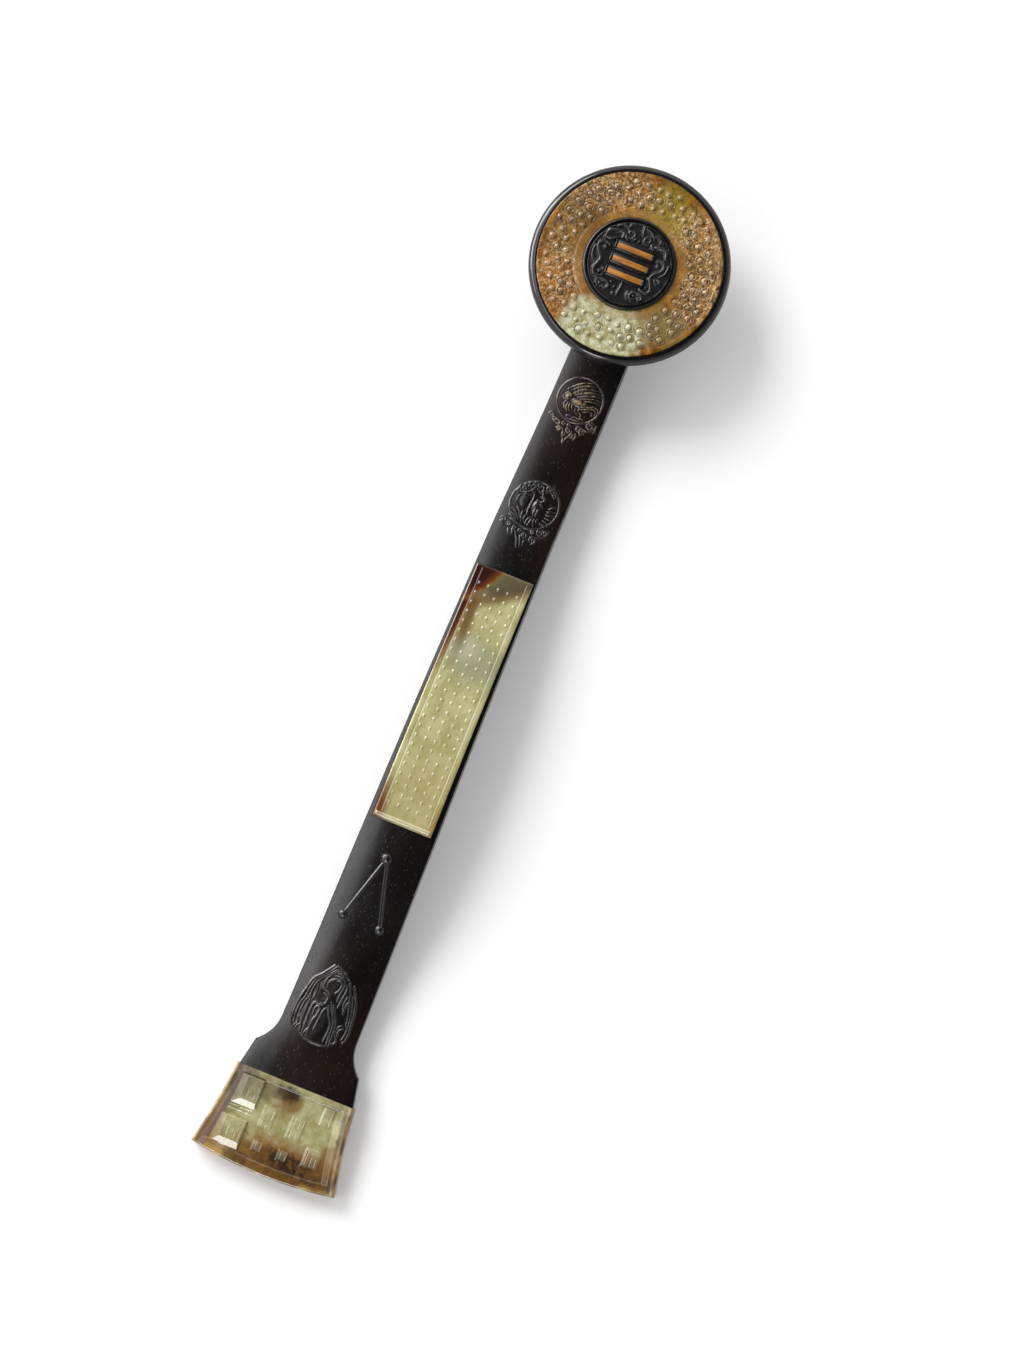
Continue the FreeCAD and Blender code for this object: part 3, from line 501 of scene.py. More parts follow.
class Finish:
    """A material, with short calls for the nodes that these finishes are made of."""

    def __init__(self, name, level=0.0, **surface):
        self.level = level
        self.material = bpy.data.materials.new(name)
        self.material.use_nodes = True
        self.nodes = self.material.node_tree.nodes
        self.links = self.material.node_tree.links
        self.surface = self.nodes["Principled BSDF"]
        for socket, value in surface.items():
            self.surface.inputs[socket.replace("_", " ")].default_value = value
        self.place = self.nodes.new("ShaderNodeTexCoord").outputs["Object"]

    def feed(self, node, values):
        for socket, value in values.items():
            if isinstance(value, bpy.types.NodeSocket):
                self.links.new(value, node.inputs[socket])
            else:
                node.inputs[socket].default_value = value
        return node

    def mapped(self, centre, size, turn=0.0):
        """Object coordinates counted from a centre, in so many sizes along each turned axis."""
        node = self.nodes.new("ShaderNodeMapping")
        node.vector_type = "TEXTURE"
        self.feed(node, {"Vector": self.place, "Location": centre, "Scale": size,
                         "Rotation": (0, 0, math.radians(turn))})
        return node.outputs["Vector"]

    def noise(self, size, detail, rough, warp=0.0, stretch=(1, 1, 1)):
        """Cloudy noise from 0 to 1, whose lumps have about the given size in metres."""
        node = self.nodes.new("ShaderNodeTexNoise")
        scales = [size * each for each in stretch]
        self.feed(node, {"Vector": self.mapped((0, 0, 0), scales), "Scale": 1.0,
                         "Detail": detail, "Roughness": rough, "Distortion": warp})
        return node.outputs["Fac"]

    def cells(self, size, feature="F1", stretch=(1, 1, 1)):
        """Distance from the middle, or with DISTANCE_TO_EDGE from the wall, of crowded cells."""
        node = self.nodes.new("ShaderNodeTexVoronoi")
        node.feature = feature
        scales = [size * each for each in stretch]
        self.feed(node, {"Vector": self.mapped((0, 0, 0), scales), "Scale": 1.0})
        return node.outputs["Distance"]

    def carried(self, name):
        """A value in millimetres that the mesh carries."""
        node = self.nodes.new("ShaderNodeAttribute")
        node.attribute_name = name
        return node.outputs["Fac"]

    def math(self, operation, a, b=0.0):
        node = self.nodes.new("ShaderNodeMath")
        node.operation = operation
        self.feed(node, {0: a, 1: b})
        return node.outputs[0]

    def times(self, a, b):
        return self.math("MULTIPLY", a, b)

    def span(self, value, low, high, to_low=0.0, to_high=1.0):
        """Value taken from one range to another, smoothly and with the ends held."""
        node = self.nodes.new("ShaderNodeMapRange")
        node.interpolation_type = "SMOOTHSTEP"
        self.feed(node, {"Value": value, "From Min": low, "From Max": high,
                         "To Min": to_low, "To Max": to_high})
        return node.outputs["Result"]

    def fall(self, value, low, high):
        """1 below a range and 0 above it, with a smooth way between."""
        return self.span(value, low, high, 1.0, 0.0)

    def patch(self, centre, size, turn=0.0, soft=0.3, ragged=0.35, grain=0.006, deep=0.05):
        """1 inside an oval patch of the finish's level, with a ragged, soft edge, and 0 outside."""
        length = self.nodes.new("ShaderNodeVectorMath")
        length.operation = "LENGTH"
        self.feed(length, {0: self.mapped((*centre, self.level), (*size, deep), turn)})
        wander = self.math("SUBTRACT", self.noise(grain, 5.0, 0.6), 0.5)
        reach = self.math("ADD", length.outputs["Value"], self.times(wander, ragged * 2))
        return self.fall(reach, 1 - soft, 1 + soft)

    def mix(self, share, below, above):
        node = self.nodes.new("ShaderNodeMix")
        node.data_type = "RGBA"
        colour_a, colour_b, colour_out = 6, 7, 2
        self.feed(node, {"Factor": share, colour_a: below, colour_b: above})
        return node.outputs[colour_out]

    def tint(self, colour, where, share, tone):
        """A tone laid over a colour where a mask stands, by a share of it."""
        return self.mix(self.times(where, share), colour, tone)

    def bumped(self, height, depth, strength=1.0):
        node = self.nodes.new("ShaderNodeBump")
        self.feed(node, {"Height": height, "Distance": depth, "Strength": strength})
        self.links.new(node.outputs["Normal"], self.surface.inputs["Normal"])

    def done(self, colour, roughness=None):
        self.links.new(colour, self.surface.inputs["Base Color"])
        if roughness is not None:
            self.links.new(roughness, self.surface.inputs["Roughness"])
        return self.material


def zitan_finish(name, dark, brown, gloss, pore_depth, painted_ridge_highlight=None):
    """Near-black wood with fine pores along the grain, a reddish breath and, where a ridge tone is given,
    a painted highlight on the tops of carved ridges.
    """
    finish = Finish(name, Specular_IOR_Level=0.5)
    along_grain = (6, 1, 1)
    figure = finish.noise(0.004, 4.0, 0.6, 0.4, (9, 1, 1))
    warm = finish.span(finish.noise(0.030, 3.0, 0.5, stretch=(2.2, 1, 1)), 0.46, 0.74)
    base = finish.mix(finish.span(figure, 0.35, 0.75), dark, brown)
    base = finish.tint(base, warm, 0.5, srgb(34, 18, 13))
    pores = finish.fall(finish.cells(0.00050, stretch=along_grain), 0.05, 0.24)
    sparse = finish.span(finish.noise(0.0030, 3.0, 0.6, stretch=(2, 1, 1)), 0.40, 0.54)
    pores = finish.times(pores, sparse)
    # Light specks in the pores: partly dust in them, partly painted glints.
    base = finish.tint(base, pores, 0.60, srgb(80, 72, 66))
    if painted_ridge_highlight is not None:
        # Painted highlight: the tops of carved ridges are lightened towards the given tone, in patches.
        top = finish.span(finish.carried("ridge"), 0.22, 0.48)
        highlight_breakup = finish.span(finish.noise(0.0018, 4.0, 0.6), 0.42, 0.60)
        base = finish.tint(base, top, highlight_breakup, painted_ridge_highlight)
    finish.bumped(finish.math("SUBTRACT", figure, pores), pore_depth, 0.6)
    rubbing = finish.noise(0.008, 4.0, 0.6, stretch=(4, 1, 1))
    roughness = finish.span(rubbing, 0.3, 0.7, gloss, gloss + 0.06)
    return finish.done(base, roughness)


def jade_base(name, level, rough=0.16, coat=0.4, shine=0.5):
    """Polished, slightly translucent stone, whose patches lie about one level."""
    return Finish(
        name, level, Roughness=rough, Specular_IOR_Level=shine, Subsurface_Weight=0.12,
        Subsurface_Radius=(0.0018, 0.0014, 0.0008), Subsurface_Scale=1.0,
        Coat_Weight=coat, Coat_Roughness=0.05)


def disc_finish():
    """Russet bi disc, with an olive place, a pale celadon end and calcified mottles."""
    finish = jade_base("russet jade of the disc", TRAY_TOP_Z, 0.18, 0.22, 0.22)
    lumps = finish.span(finish.noise(0.0042, 5.0, 0.6, 0.6), 0.36, 0.64)
    colour = finish.mix(lumps, srgb(84, 46, 6), srgb(168, 112, 30))
    amber = finish.span(finish.noise(0.010, 4.0, 0.6, 0.5), 0.50, 0.62)
    colour = finish.tint(colour, amber, 0.75, srgb(94, 56, 10))
    x = HEAD_X
    orange = finish.patch((x - 0.020, 0.024), (0.015, 0.011), 30, 0.5, 0.4)
    colour = finish.tint(colour, orange, 0.4, srgb(166, 96, 30))
    for centre, size, share, tone in (
            ((x + 0.024, -0.007), (0.011, 0.0085), 0.90, srgb(150, 130, 46)),
            ((x + 0.010, -0.025), (0.005, 0.007), 0.75, srgb(146, 108, 34)),
            ((x + 0.001, 0.024), (0.013, 0.007), 0.60, srgb(118, 88, 28)),
            ((x + 0.014, 0.026), (0.006, 0.009), 0.60, srgb(112, 88, 30)),
            ((x - 0.020, -0.023), (0.010, 0.006), 0.55, srgb(120, 84, 24))):
        olive = finish.patch(centre, size, 10, 0.4, 0.4)
        colour = finish.tint(colour, olive, share, tone)
    clouds = finish.mix(finish.span(finish.noise(0.0026, 6.0, 0.66), 0.38, 0.62),
                        srgb(162, 154, 100), srgb(210, 212, 180))
    milk = finish.span(finish.noise(0.0015, 8.0, 0.78, 1.2), 0.49, 0.57)
    crackle = finish.fall(finish.cells(0.0024, "DISTANCE_TO_EDGE"), 0.02, 0.09)
    veins = finish.math("MAXIMUM", milk, finish.times(crackle, 0.25))
    gaps = finish.fall(finish.noise(0.0021, 6.0, 0.7, 0.8), 0.39, 0.50)
    colour = finish.tint(colour, gaps, 0.60, srgb(64, 34, 8))
    for centre, size, share in (
            ((x + 0.026, 0.018), (0.010, 0.020), 0.75),
            ((x - 0.001, -0.029), (0.013, 0.008), 0.90),
            ((x + 0.020, -0.022), (0.010, 0.012), 0.80),
            ((x - 0.016, 0.025), (0.014, 0.011), 0.65),
            ((x + 0.004, 0.029), (0.012, 0.006), 0.40)):
        where = finish.times(finish.patch(centre, size, 0, 0.5, 0.4), veins)
        colour = finish.tint(colour, where, share, srgb(230, 202, 154))
    celadon = finish.patch((x - 0.0275, 0.000), (0.0130, 0.0170), 8, 0.20, 0.30)
    colour = finish.mix(celadon, colour, clouds)
    fringe = finish.patch((x - 0.018, -0.020), (0.007, 0.009), 0, 0.5, 0.5)
    colour = finish.tint(colour, fringe, 0.5, srgb(160, 146, 92))
    border = finish.patch((x, 0), (0.0216, 0.0216), 0, 0.02, 0.0)
    colour = finish.tint(colour, border, 0.35, srgb(170, 128, 72))
    specks = finish.fall(finish.noise(0.0007, 3.0, 0.6), 0.36, 0.50)
    colour = finish.tint(colour, specks, 0.30, srgb(70, 40, 14))
    ridge = finish.carried("ridge")
    # Painted shade in the crease at the foot of each grain, and a painted highlight on its top.
    painted_shade_at_grain_foot = finish.times(finish.span(ridge, 0.0, 0.08), finish.fall(ridge, 0.12, 0.42))
    colour = finish.tint(colour, painted_shade_at_grain_foot, 0.50, srgb(66, 38, 12))
    painted_top_highlight = finish.span(ridge, 0.40, 0.78)
    colour = finish.tint(colour, painted_top_highlight, 0.12, srgb(226, 200, 160))
    finish.bumped(finish.noise(0.0011, 4.0, 0.6), 0.00009, 0.8)
    return finish.done(colour)


def plaque_finish():
    """Celadon slide with a russet corner and wedge at its head end and a russet foot corner."""
    finish = jade_base("celadon jade of the plaque", PLAQUE_PROUD + 0.020)
    clouds = finish.span(finish.noise(0.006, 6.0, 0.62, 0.4, (1.4, 1, 1)), 0.34, 0.66)
    colour = finish.mix(clouds, srgb(166, 160, 106), srgb(194, 188, 140))
    milk = finish.span(finish.noise(0.0028, 6.0, 0.66, 0.8), 0.54, 0.68)
    colour = finish.tint(colour, milk, 0.45, srgb(206, 202, 166))
    head, foot = PLAQUE_HEAD_X, PLAQUE_FOOT_X
    for centre, size, turn, soft, share, tone in (
            ((foot + 0.016, -0.003), (0.020, 0.012), 0, 0.6, 0.35, srgb(180, 160, 104)),
            ((head - 0.037, -0.003), (0.008, 0.012), 0, 0.6, 0.75, srgb(142, 146, 116)),
            ((head - 0.033, 0.004), (0.005, 0.006), 0, 0.6, 0.50, srgb(196, 196, 170)),
            ((head - 0.021, 0.0068), (0.014, 0.0024), 3, 0.7, 0.90, srgb(104, 78, 36)),
            ((head - 0.010, -0.001), (0.0145, 0.0028), -57, 0.7, 0.85, srgb(104, 76, 34)),
            ((head - 0.000, -0.005), (0.0180, 0.0064), -57, 0.3, 0.90, srgb(80, 70, 54)),
            ((head - 0.022, 0.0128), (0.026, 0.0040), 0, 0.35, 0.85, srgb(124, 70, 28)),
            ((head - 0.015, 0.0130), (0.022, 0.0036), 0, 0.30, 1.00, srgb(62, 18, 8)),
            ((head + 0.0046, 0.0184), (0.030, 0.0188), -35, 0.05, 0.80, srgb(140, 112, 52)),
            ((head + 0.0046, 0.0184), (0.030, 0.0182), -35, 0.05, 0.90, srgb(104, 44, 14)),
            ((head + 0.0046, 0.0184), (0.029, 0.0165), -35, 0.10, 0.95, srgb(46, 14, 7)),
            ((foot + 0.002, 0.0132), (0.014, 0.0050), 0, 0.50, 0.95, srgb(108, 52, 14)),
            ((foot + 0.002, -0.0125), (0.014, 0.0026), 0, 0.60, 0.60, srgb(162, 116, 48))):
        stain = finish.patch(centre, size, turn, soft, 0.10)
        colour = finish.tint(colour, stain, share, tone)
    # Painted highlight on the tops of the grains and of the lip.
    painted_top_highlight = finish.span(finish.carried("ridge"), 0.10, 0.34)
    colour = finish.tint(colour, painted_top_highlight, 0.30, srgb(232, 228, 200))
    finish.bumped(finish.noise(0.0016, 4.0, 0.6), 0.00007, 0.4)
    return finish.done(colour)


def chape_finish():
    """Clouded celadon chape, brown-black along its tip and amber at its thin edges."""
    finish = jade_base("clouded jade of the chape", 0.0)
    clouds = finish.span(finish.noise(0.005, 6.0, 0.62), 0.34, 0.66)
    colour = finish.mix(clouds, srgb(156, 150, 98), srgb(184, 180, 138))
    milk = finish.span(finish.noise(0.0022, 6.0, 0.66, 0.8), 0.56, 0.68)
    colour = finish.tint(colour, milk, 0.5, srgb(204, 202, 172))
    tip, shaft = FOOT_TIP_X, JUNCTION_X
    for centre, size, soft, share, grain, tone in (
            ((tip + 0.0180, 0.0265), (0.0240, 0.0042), 0.50, 0.75, 0.005, srgb(152, 120, 88)),
            ((tip + 0.0060, 0.026), (0.0120, 0.0060), 0.60, 0.60, 0.005, srgb(116, 84, 60)),
            ((tip + 0.0180, -0.0262), (0.0130, 0.0034), 0.50, 0.85, 0.005, srgb(226, 212, 176)),
            ((tip + 0.0090, -0.007), (0.0068, 0.022), 0.55, 0.85, 0.0030, srgb(132, 90, 38)),
            ((tip + 0.0056, -0.003), (0.0056, 0.016), 0.45, 0.80, 0.0026, srgb(66, 40, 18)),
            ((tip + 0.0060, -0.010), (0.0054, 0.018), 0.40, 0.85, 0.0021, srgb(38, 26, 23)),
            ((tip + 0.0018, -0.002), (0.0024, 0.019), 0.45, 0.65, 0.0026, srgb(112, 76, 26)),
            ((tip + 0.0016, -0.021), (0.0022, 0.0050), 0.50, 0.85, 0.003, srgb(196, 166, 72)),
            ((tip + 0.0050, 0.016), (0.0050, 0.014), 0.60, 0.45, 0.003, srgb(150, 112, 56)),
            ((tip + 0.0030, 0.012), (0.0030, 0.0060), 0.50, 0.75, 0.0024, srgb(72, 48, 28)),
            ((tip + 0.0020, 0.021), (0.0022, 0.0050), 0.50, 0.70, 0.0030, srgb(196, 158, 84)),
            ((tip + 0.0075, -0.022), (0.0060, 0.007), 0.50, 0.85, 0.005, srgb(62, 46, 32)),
            ((tip + 0.0150, -0.023), (0.0090, 0.005), 0.60, 0.70, 0.005, srgb(128, 94, 46)),
            ((shaft - 0.0075, -0.000), (0.0048, 0.0042), 0.55, 0.80, 0.0030, srgb(126, 88, 40)),
            ((shaft - 0.0042, 0.002), (0.0032, 0.0050), 0.45, 0.95, 0.0026, srgb(46, 30, 20)),
            ((shaft - 0.0055, 0.010), (0.0045, 0.0080), 0.60, 0.65, 0.005, srgb(104, 84, 60)),
            ((shaft - 0.0055, 0.021), (0.0090, 0.0060), 0.50, 0.75, 0.005, srgb(84, 74, 66)),
            ((shaft - 0.0090, -0.0245), (0.0100, 0.0030), 0.50, 0.80, 0.005, srgb(82, 58, 48)),
            ((shaft - 0.0040, -0.019), (0.0040, 0.0060), 0.60, 0.55, 0.005, srgb(120, 102, 74))):
        stain = finish.patch(centre, size, 0, soft, 0.80, grain)
        colour = finish.tint(colour, stain, share, tone)
    mottle = finish.span(finish.noise(0.0026, 6.0, 0.7, 0.6), 0.46, 0.60)
    along_tip = finish.patch((tip + 0.0050, -0.004), (0.0066, 0.026), 0, 0.45, 0.8, 0.004)
    mottle = finish.times(mottle, along_tip)
    colour = finish.tint(colour, mottle, 0.30, srgb(160, 112, 50))
    grey = finish.times(finish.carried("bevel"), 0.75)
    colour = finish.mix(grey, colour, srgb(150, 126, 120))
    raised = finish.span(finish.carried("ridge"), 0.08, 0.22)
    colour = finish.tint(colour, raised, 0.14, srgb(208, 206, 168))
    thin = finish.fall(finish.carried("edge"), 0.4, 1.3)
    low_down = finish.patch((tip, 0), (1.0, 1.0), 0, 0.4, 0.3, deep=0.0044)
    low_down = finish.times(low_down, 0.75)
    thin = finish.times(thin, finish.math("SUBTRACT", 1.0, low_down))
    amber = finish.span(finish.noise(0.007, 4.0, 0.6), 0.38, 0.60)
    amber = finish.mix(amber, srgb(96, 58, 24), srgb(186, 146, 76))
    colour = finish.tint(colour, thin, 0.80, amber)
    finish.bumped(finish.noise(0.0016, 4.0, 0.6), 0.00007, 0.4)
    return finish.done(colour)


def ochre_finish():
    """Slightly grained, dull ochre."""
    finish = Finish("ochre of the inlaid bars", Specular_IOR_Level=0.4)
    grain = finish.noise(0.0011, 4.0, 0.6, stretch=(1, 6, 1))
    colour = finish.mix(finish.span(grain, 0.35, 0.68), srgb(142, 84, 12), srgb(178, 118, 30))
    finish.bumped(grain, 0.00006, 0.5)
    return finish.done(colour, finish.span(grain, 0.3, 0.7, 0.38, 0.52))


zitan = zitan_finish("satin zitan", srgb(11, 8, 7), srgb(19, 15, 13), 0.17, 0.00003)
polished_zitan = zitan_finish("polished zitan", srgb(9, 8, 8), srgb(14, 12, 12), 0.12, 0.00001)
# The last tone of each carving finish is a painted highlight on its ridge tops; on the sun it is gold,
# partly traces of gilt and partly painted highlight.
carved_zitan = zitan_finish(
    "waxed carving", srgb(7, 6, 5), srgb(13, 11, 10), 0.21, 0.00002, srgb(26, 23, 20))
gilt_and_highlight_zitan = zitan_finish(
    "carving with gilt traces and painted highlights", srgb(7, 6, 5), srgb(14, 12, 10), 0.20, 0.00002, srgb(150, 132, 90))
boss_zitan = zitan_finish(
    "polished boss", srgb(8, 7, 8), srgb(13, 12, 12), 0.24, 0.00001, srgb(22, 21, 22))
hidden_wood = zitan_finish("plain hardwood", srgb(92, 62, 40), srgb(128, 90, 58), 0.55, 0.00004)
russet_jade = disc_finish()
celadon_jade = plaque_finish()
clouded_jade = chape_finish()
ochre = ochre_finish()


# ---------------------------------------------------------------- handle

HANDLE_CELL = 0.0015
SIDE_CELLS = 5
INNER_CELLS = 18
INNER_MOST_SHARE = 0.93
HANDLE_ROUNDING = 0.00055


def wooden_handle():
    """The waved handle, with the bed that the plaque lies in."""
    length = NECK_TIP_X - JUNCTION_X
    along = int(length / HANDLE_CELL)
    across = 2 * SIDE_CELLS + INNER_CELLS
    piece, share_x, share_y = grid("zitan_handle", along, across)
    column = np.rint(share_y * across).astype(int)
    x = JUNCTION_X + share_x * length
    for mark in (COVE_START_X - COVE_LENGTH, COVE_START_X, PLAQUE_FOOT_X - LET_IN_CLEARANCE,
                 PLAQUE_HEAD_X + LET_IN_CLEARANCE, SEAT_SAWN_FROM_X):
        nearest = JUNCTION_X + round((mark - JUNCTION_X) / length * along) * length / along
        x = np.where(np.abs(x - nearest) < length / along / 4, mark, x)
    half = shaft_half_width(x)
    inner = np.minimum(plaque_half_width(x) + LET_IN_CLEARANCE, INNER_MOST_SHARE * half)
    from_middle = column - across / 2
    out = np.clip(np.abs(from_middle) - INNER_CELLS / 2, 0, SIDE_CELLS) / SIDE_CELLS
    within = np.clip(np.abs(from_middle) / (INNER_CELLS / 2), 0, 1)
    y = np.sign(from_middle) * (inner * within + (half - inner) * out) + lean(x)
    move_points(piece, np.stack([x, y, shaft_top(x, y)], 1))
    give_underside(piece, lambda low_x, low_y: np.maximum(height_on(UNDERSIDE_LEVELS, low_x), 0.0))
    sink_bed(piece)
    bevel_sharp_edges(piece, HANDLE_ROUNDING, angle=50)
    return piece


def bed_height(x, y):
    """Height of the bed under the plaque, which is the same right across."""
    return height_on(TOP_LEVELS, x) - PLAQUE_IN_SHAFT


def sink_bed(piece):
    """Sinks the faces under the plaque to the bed's floor."""
    into_edit(piece, "FACE")
    out_of_edit()
    slack = 10 * HAIR
    chosen = []
    for face in piece.data.polygons:
        middle = face.center
        inside = PLAQUE_FOOT_X - slack < middle.x < PLAQUE_HEAD_X + slack
        inside = inside and abs(middle.y) < plaque_half_width(middle.x)
        chosen.append(inside and face.normal.z > 0.5)
    piece.data.polygons.foreach_set("select", chosen)
    bpy.ops.object.mode_set(mode="EDIT")
    bpy.ops.mesh.extrude_region_move(TRANSFORM_OT_translate={"value": (0, 0, -PLAQUE_IN_SHAFT)})
    out_of_edit()
    set_height_of_chosen(piece, bed_height)
    face_outwards(piece)


finished(wooden_handle(), zitan, ["handle"], 35)

# ---------------------------------------------------------------- carvings on the shaft

BARE_NECK_LENGTH = HEAD_X - TRAY_RADIUS - PLAQUE_HEAD_X
SUN_X = PLAQUE_HEAD_X + 0.8263 * BARE_NECK_LENGTH
MOON_X = PLAQUE_HEAD_X + 0.3255 * BARE_NECK_LENGTH
SUN_RING_RADIUS = 9.0
MOON_RING_RADIUS = 9.6

# Drawings: each stroke is its width and the places that it runs through.
SUN_WING = [
    (0.75, [(-5.8, 2.9), (-3.6, 5.0), (-1.0, 6.8), (2.4, 8.0)]),
    (0.65, [(-4.6, 2.7), (-2.6, 4.5), (0.2, 6.1), (4.2, 7.3)]),
    (0.65, [(-3.5, 1.7), (-1.2, 3.9), (2.0, 5.4), (6.0, 6.1)]),
    (0.65, [(-2.3, 1.3), (0.6, 3.2), (3.6, 4.5), (7.2, 4.9)]),
    (0.60, [(-1.3, 0.8), (1.6, 2.4), (4.6, 3.5), (7.7, 3.8)]),
    (0.60, [(-0.4, 0.4), (2.4, 1.5), (5.2, 2.4), (7.6, 2.5)]),
    (0.55, [(0.6, 0.2), (3.0, 0.7), (5.4, 1.3), (7.4, 1.2)]),
]
SUN_FEATHERS = [
    (0.55, [(-3.6, 3.4), (-2.9, 2.2), (-2.6, 0.9)]),
    (0.55, [(-2.4, 4.2), (-1.8, 2.9), (-1.4, 1.6)]),
    (0.50, [(-1.0, 4.7), (-0.5, 3.5), (-0.3, 2.4)]),
    (0.60, [(-5.0, -1.4), (-5.4, -3.4), (-4.2, -5.2)]),
    (0.60, [(-4.1, -2.0), (-4.3, -3.9), (-3.2, -5.6)]),
    (0.60, [(-3.2, -2.2), (-3.2, -4.0), (-2.2, -5.4)]),
    (0.55, [(-2.3, -2.2), (-2.0, -3.8), (-1.0, -4.9)]),
]
SUN_TAIL = [
    (0.65, [(0.2, -2.7), (3.2, -1.6), (6.2, -0.4), (8.0, -1.2), (8.2, -2.9)]),
    (0.60, [(0.6, -3.4), (3.4, -2.4), (5.8, -1.4), (7.2, -2.0), (7.3, -3.4)]),
    (0.55, [(2.8, -3.7), (4.8, -2.9), (6.2, -2.9), (6.4, -4.0)]),
]
SUN_BIRD = [
    (0.60, [(-5.0, 1.6), (-6.0, 2.4), (-5.5, 3.3), (-4.6, 3.0)]),
    (0.70, [(-6.4, 0.4), (-5.6, 1.3), (-4.2, 1.0), (-3.8, -0.4)]),
    (0.55, [(-6.9, -0.4), (-6.3, -1.3), (-5.1, -1.2)]),
    (0.50, [(0.6, -3.0), (1.0, -4.3), (2.2, -5.0), (2.4, -6.2)]),
    (0.45, [(-0.6, -3.2), (-0.2, -4.7), (0.8, -5.5), (1.7, -5.4)]),
]
SUN_ROCK = [
    (0.60, [(-2.9, -7.3), (-1.7, -6.6), (-0.4, -7.3)]),
    (0.60, [(-0.5, -7.4), (0.9, -6.6), (2.3, -7.4)]),
    (0.55, [(2.1, -7.2), (3.2, -6.4), (4.2, -7.0)]),
    (0.50, [(-3.2, -8.0), (0.4, -7.9), (3.6, -7.7)]),
]
# Cloud curls below a medallion: middle, radius, where it starts in degrees, turns.
SUN_CURLS = [
    ((-8.2, -8.6), 1.2, 200, -1.1), ((-6.6, -10.2), 1.0, 150, -1.0), ((-4.7, -10.9), 0.9, 120, -0.9),
    ((-2.4, -10.6), 0.9, 40, 1.0), ((-0.3, -10.6), 0.7, 0, 1.0), ((0.4, -12.4), 1.2, 90, 1.3),
    ((3.6, -10.6), 1.3, 120, -1.2), ((5.4, -11.8), 1.1, 10, 1.0), ((7.6, -7.9), 1.8, 30, 1.4),
    ((9.1, -9.0), 1.0, -60, 1.1), ((-3.6, -13.2), 0.9, 170, -1.0), ((-0.7, -14.4), 0.8, 80, 1.0),
    ((2.2, -14.2), 0.9, 200, -1.1),
]
SUN_WISPS = [
    (0.55, [(-8.6, -7.4), (-7.0, -8.9), (-4.6, -10.0), (-2.0, -10.0)]),
    (0.55, [(9.8, -6.9), (9.4, -8.9), (7.4, -10.2), (4.8, -9.9), (2.6, -9.8)]),
    (0.55, [(-5.6, -11.4), (-3.6, -11.9), (-1.9, -12.6), (-1.6, -14.0)]),
    (0.60, [(3.2, -12.6), (3.9, -13.8), (3.4, -15.4)]),
    (0.55, [(1.8, -12.2), (1.6, -14.0), (0.6, -15.8), (0.2, -17.6)]),
    (0.45, [(-1.4, -15.2), (-0.4, -16.4), (0.0, -18.2)]),
]


def draw_sun(carving):
    """A crested bird with spread wing and curling tail in a ring, over trailing clouds."""
    carving.ring((0, 0), SUN_RING_RADIUS, 0.95, 0.34)
    carving.dome((0.2, -0.9), (7.6, 3.4), 0.50, 6, 0.8)
    carving.dome((-5.0, -0.2), (2.2, 2.6), 0.60)
    carving.dome((1.2, 3.2), (9.0, 5.4), 0.20, 28, 0.8)
    carving.strokes(SUN_WING + SUN_FEATHERS, 0.46, 1.35)
    carving.strokes(SUN_TAIL + SUN_BIRD, 0.46, 1.45)
    carving.strokes(SUN_ROCK, 0.36, 1.5)
    carving.strokes(SUN_WISPS, 0.36, 1.6)
    for middle, radius, start, turns in SUN_CURLS:
        carving.curl(middle, radius, start, turns, 0.95, 0.40)


MOON_TREE = [
    (0.70, [(-7.0, 3.4), (-5.0, 3.8), (-3.2, 5.3), (-2.4, 7.2)]),
    (0.60, [(-3.4, 5.2), (-1.8, 4.2), (-1.4, 1.6), (-1.7, -1.8), (-1.4, -4.4)]),
    (0.55, [(-2.6, 4.0), (-4.8, 2.9), (-6.8, 2.0), (-7.3, -0.4), (-6.4, -1.9)]),
    (0.55, [(-1.6, 6.6), (0.2, 5.6), (1.4, 6.6), (2.9, 6.4)]),
    (0.55, [(0.4, 8.2), (0.8, 7.3), (0.6, 6.4)]),
    (0.60, [(1.2, 5.8), (1.8, 4.7), (2.6, 4.4)]),
]
MOON_CLUMPS = [
    ((-7.9, 3.4), 0.9), ((-7.5, 5.2), 0.9), ((-5.8, 6.6), 1.0), ((-4.3, 7.7), 1.0), ((-2.6, 8.3), 0.9),
    ((-0.9, 7.9), 0.8), ((2.6, 8.0), 0.9), ((4.4, 7.4), 0.9), ((5.8, 6.2), 0.8), ((-6.2, 4.9), 0.8),
]
MOON_HARE = [
    (0.75, [(0.2, 2.6), (0.5, 1.2), (-0.2, -0.4)]),
    (0.70, [(1.0, 3.9), (2.4, 4.0), (2.8, 2.8), (1.6, 2.1)]),
    (0.55, [(1.4, 1.0), (2.6, 1.0), (3.2, 0.2)]),
    (0.80, [(0.9, -0.8), (0.8, -2.4), (1.0, -4.0)]),
    (0.75, [(2.0, -0.6), (2.0, -2.2), (2.0, -3.9)]),
    (0.65, [(0.6, -4.6), (-0.4, -6.2), (-0.6, -8.0)]),
    (0.65, [(1.2, -4.9), (0.8, -6.6), (0.4, -8.2)]),
    (0.65, [(2.0, -5.0), (2.1, -6.6), (2.8, -8.0)]),
    (0.55, [(3.4, -4.6), (3.0, -5.6), (3.4, -6.8)]),
    (0.55, [(-1.6, -4.6), (-1.9, -6.0), (-1.4, -7.4)]),
]
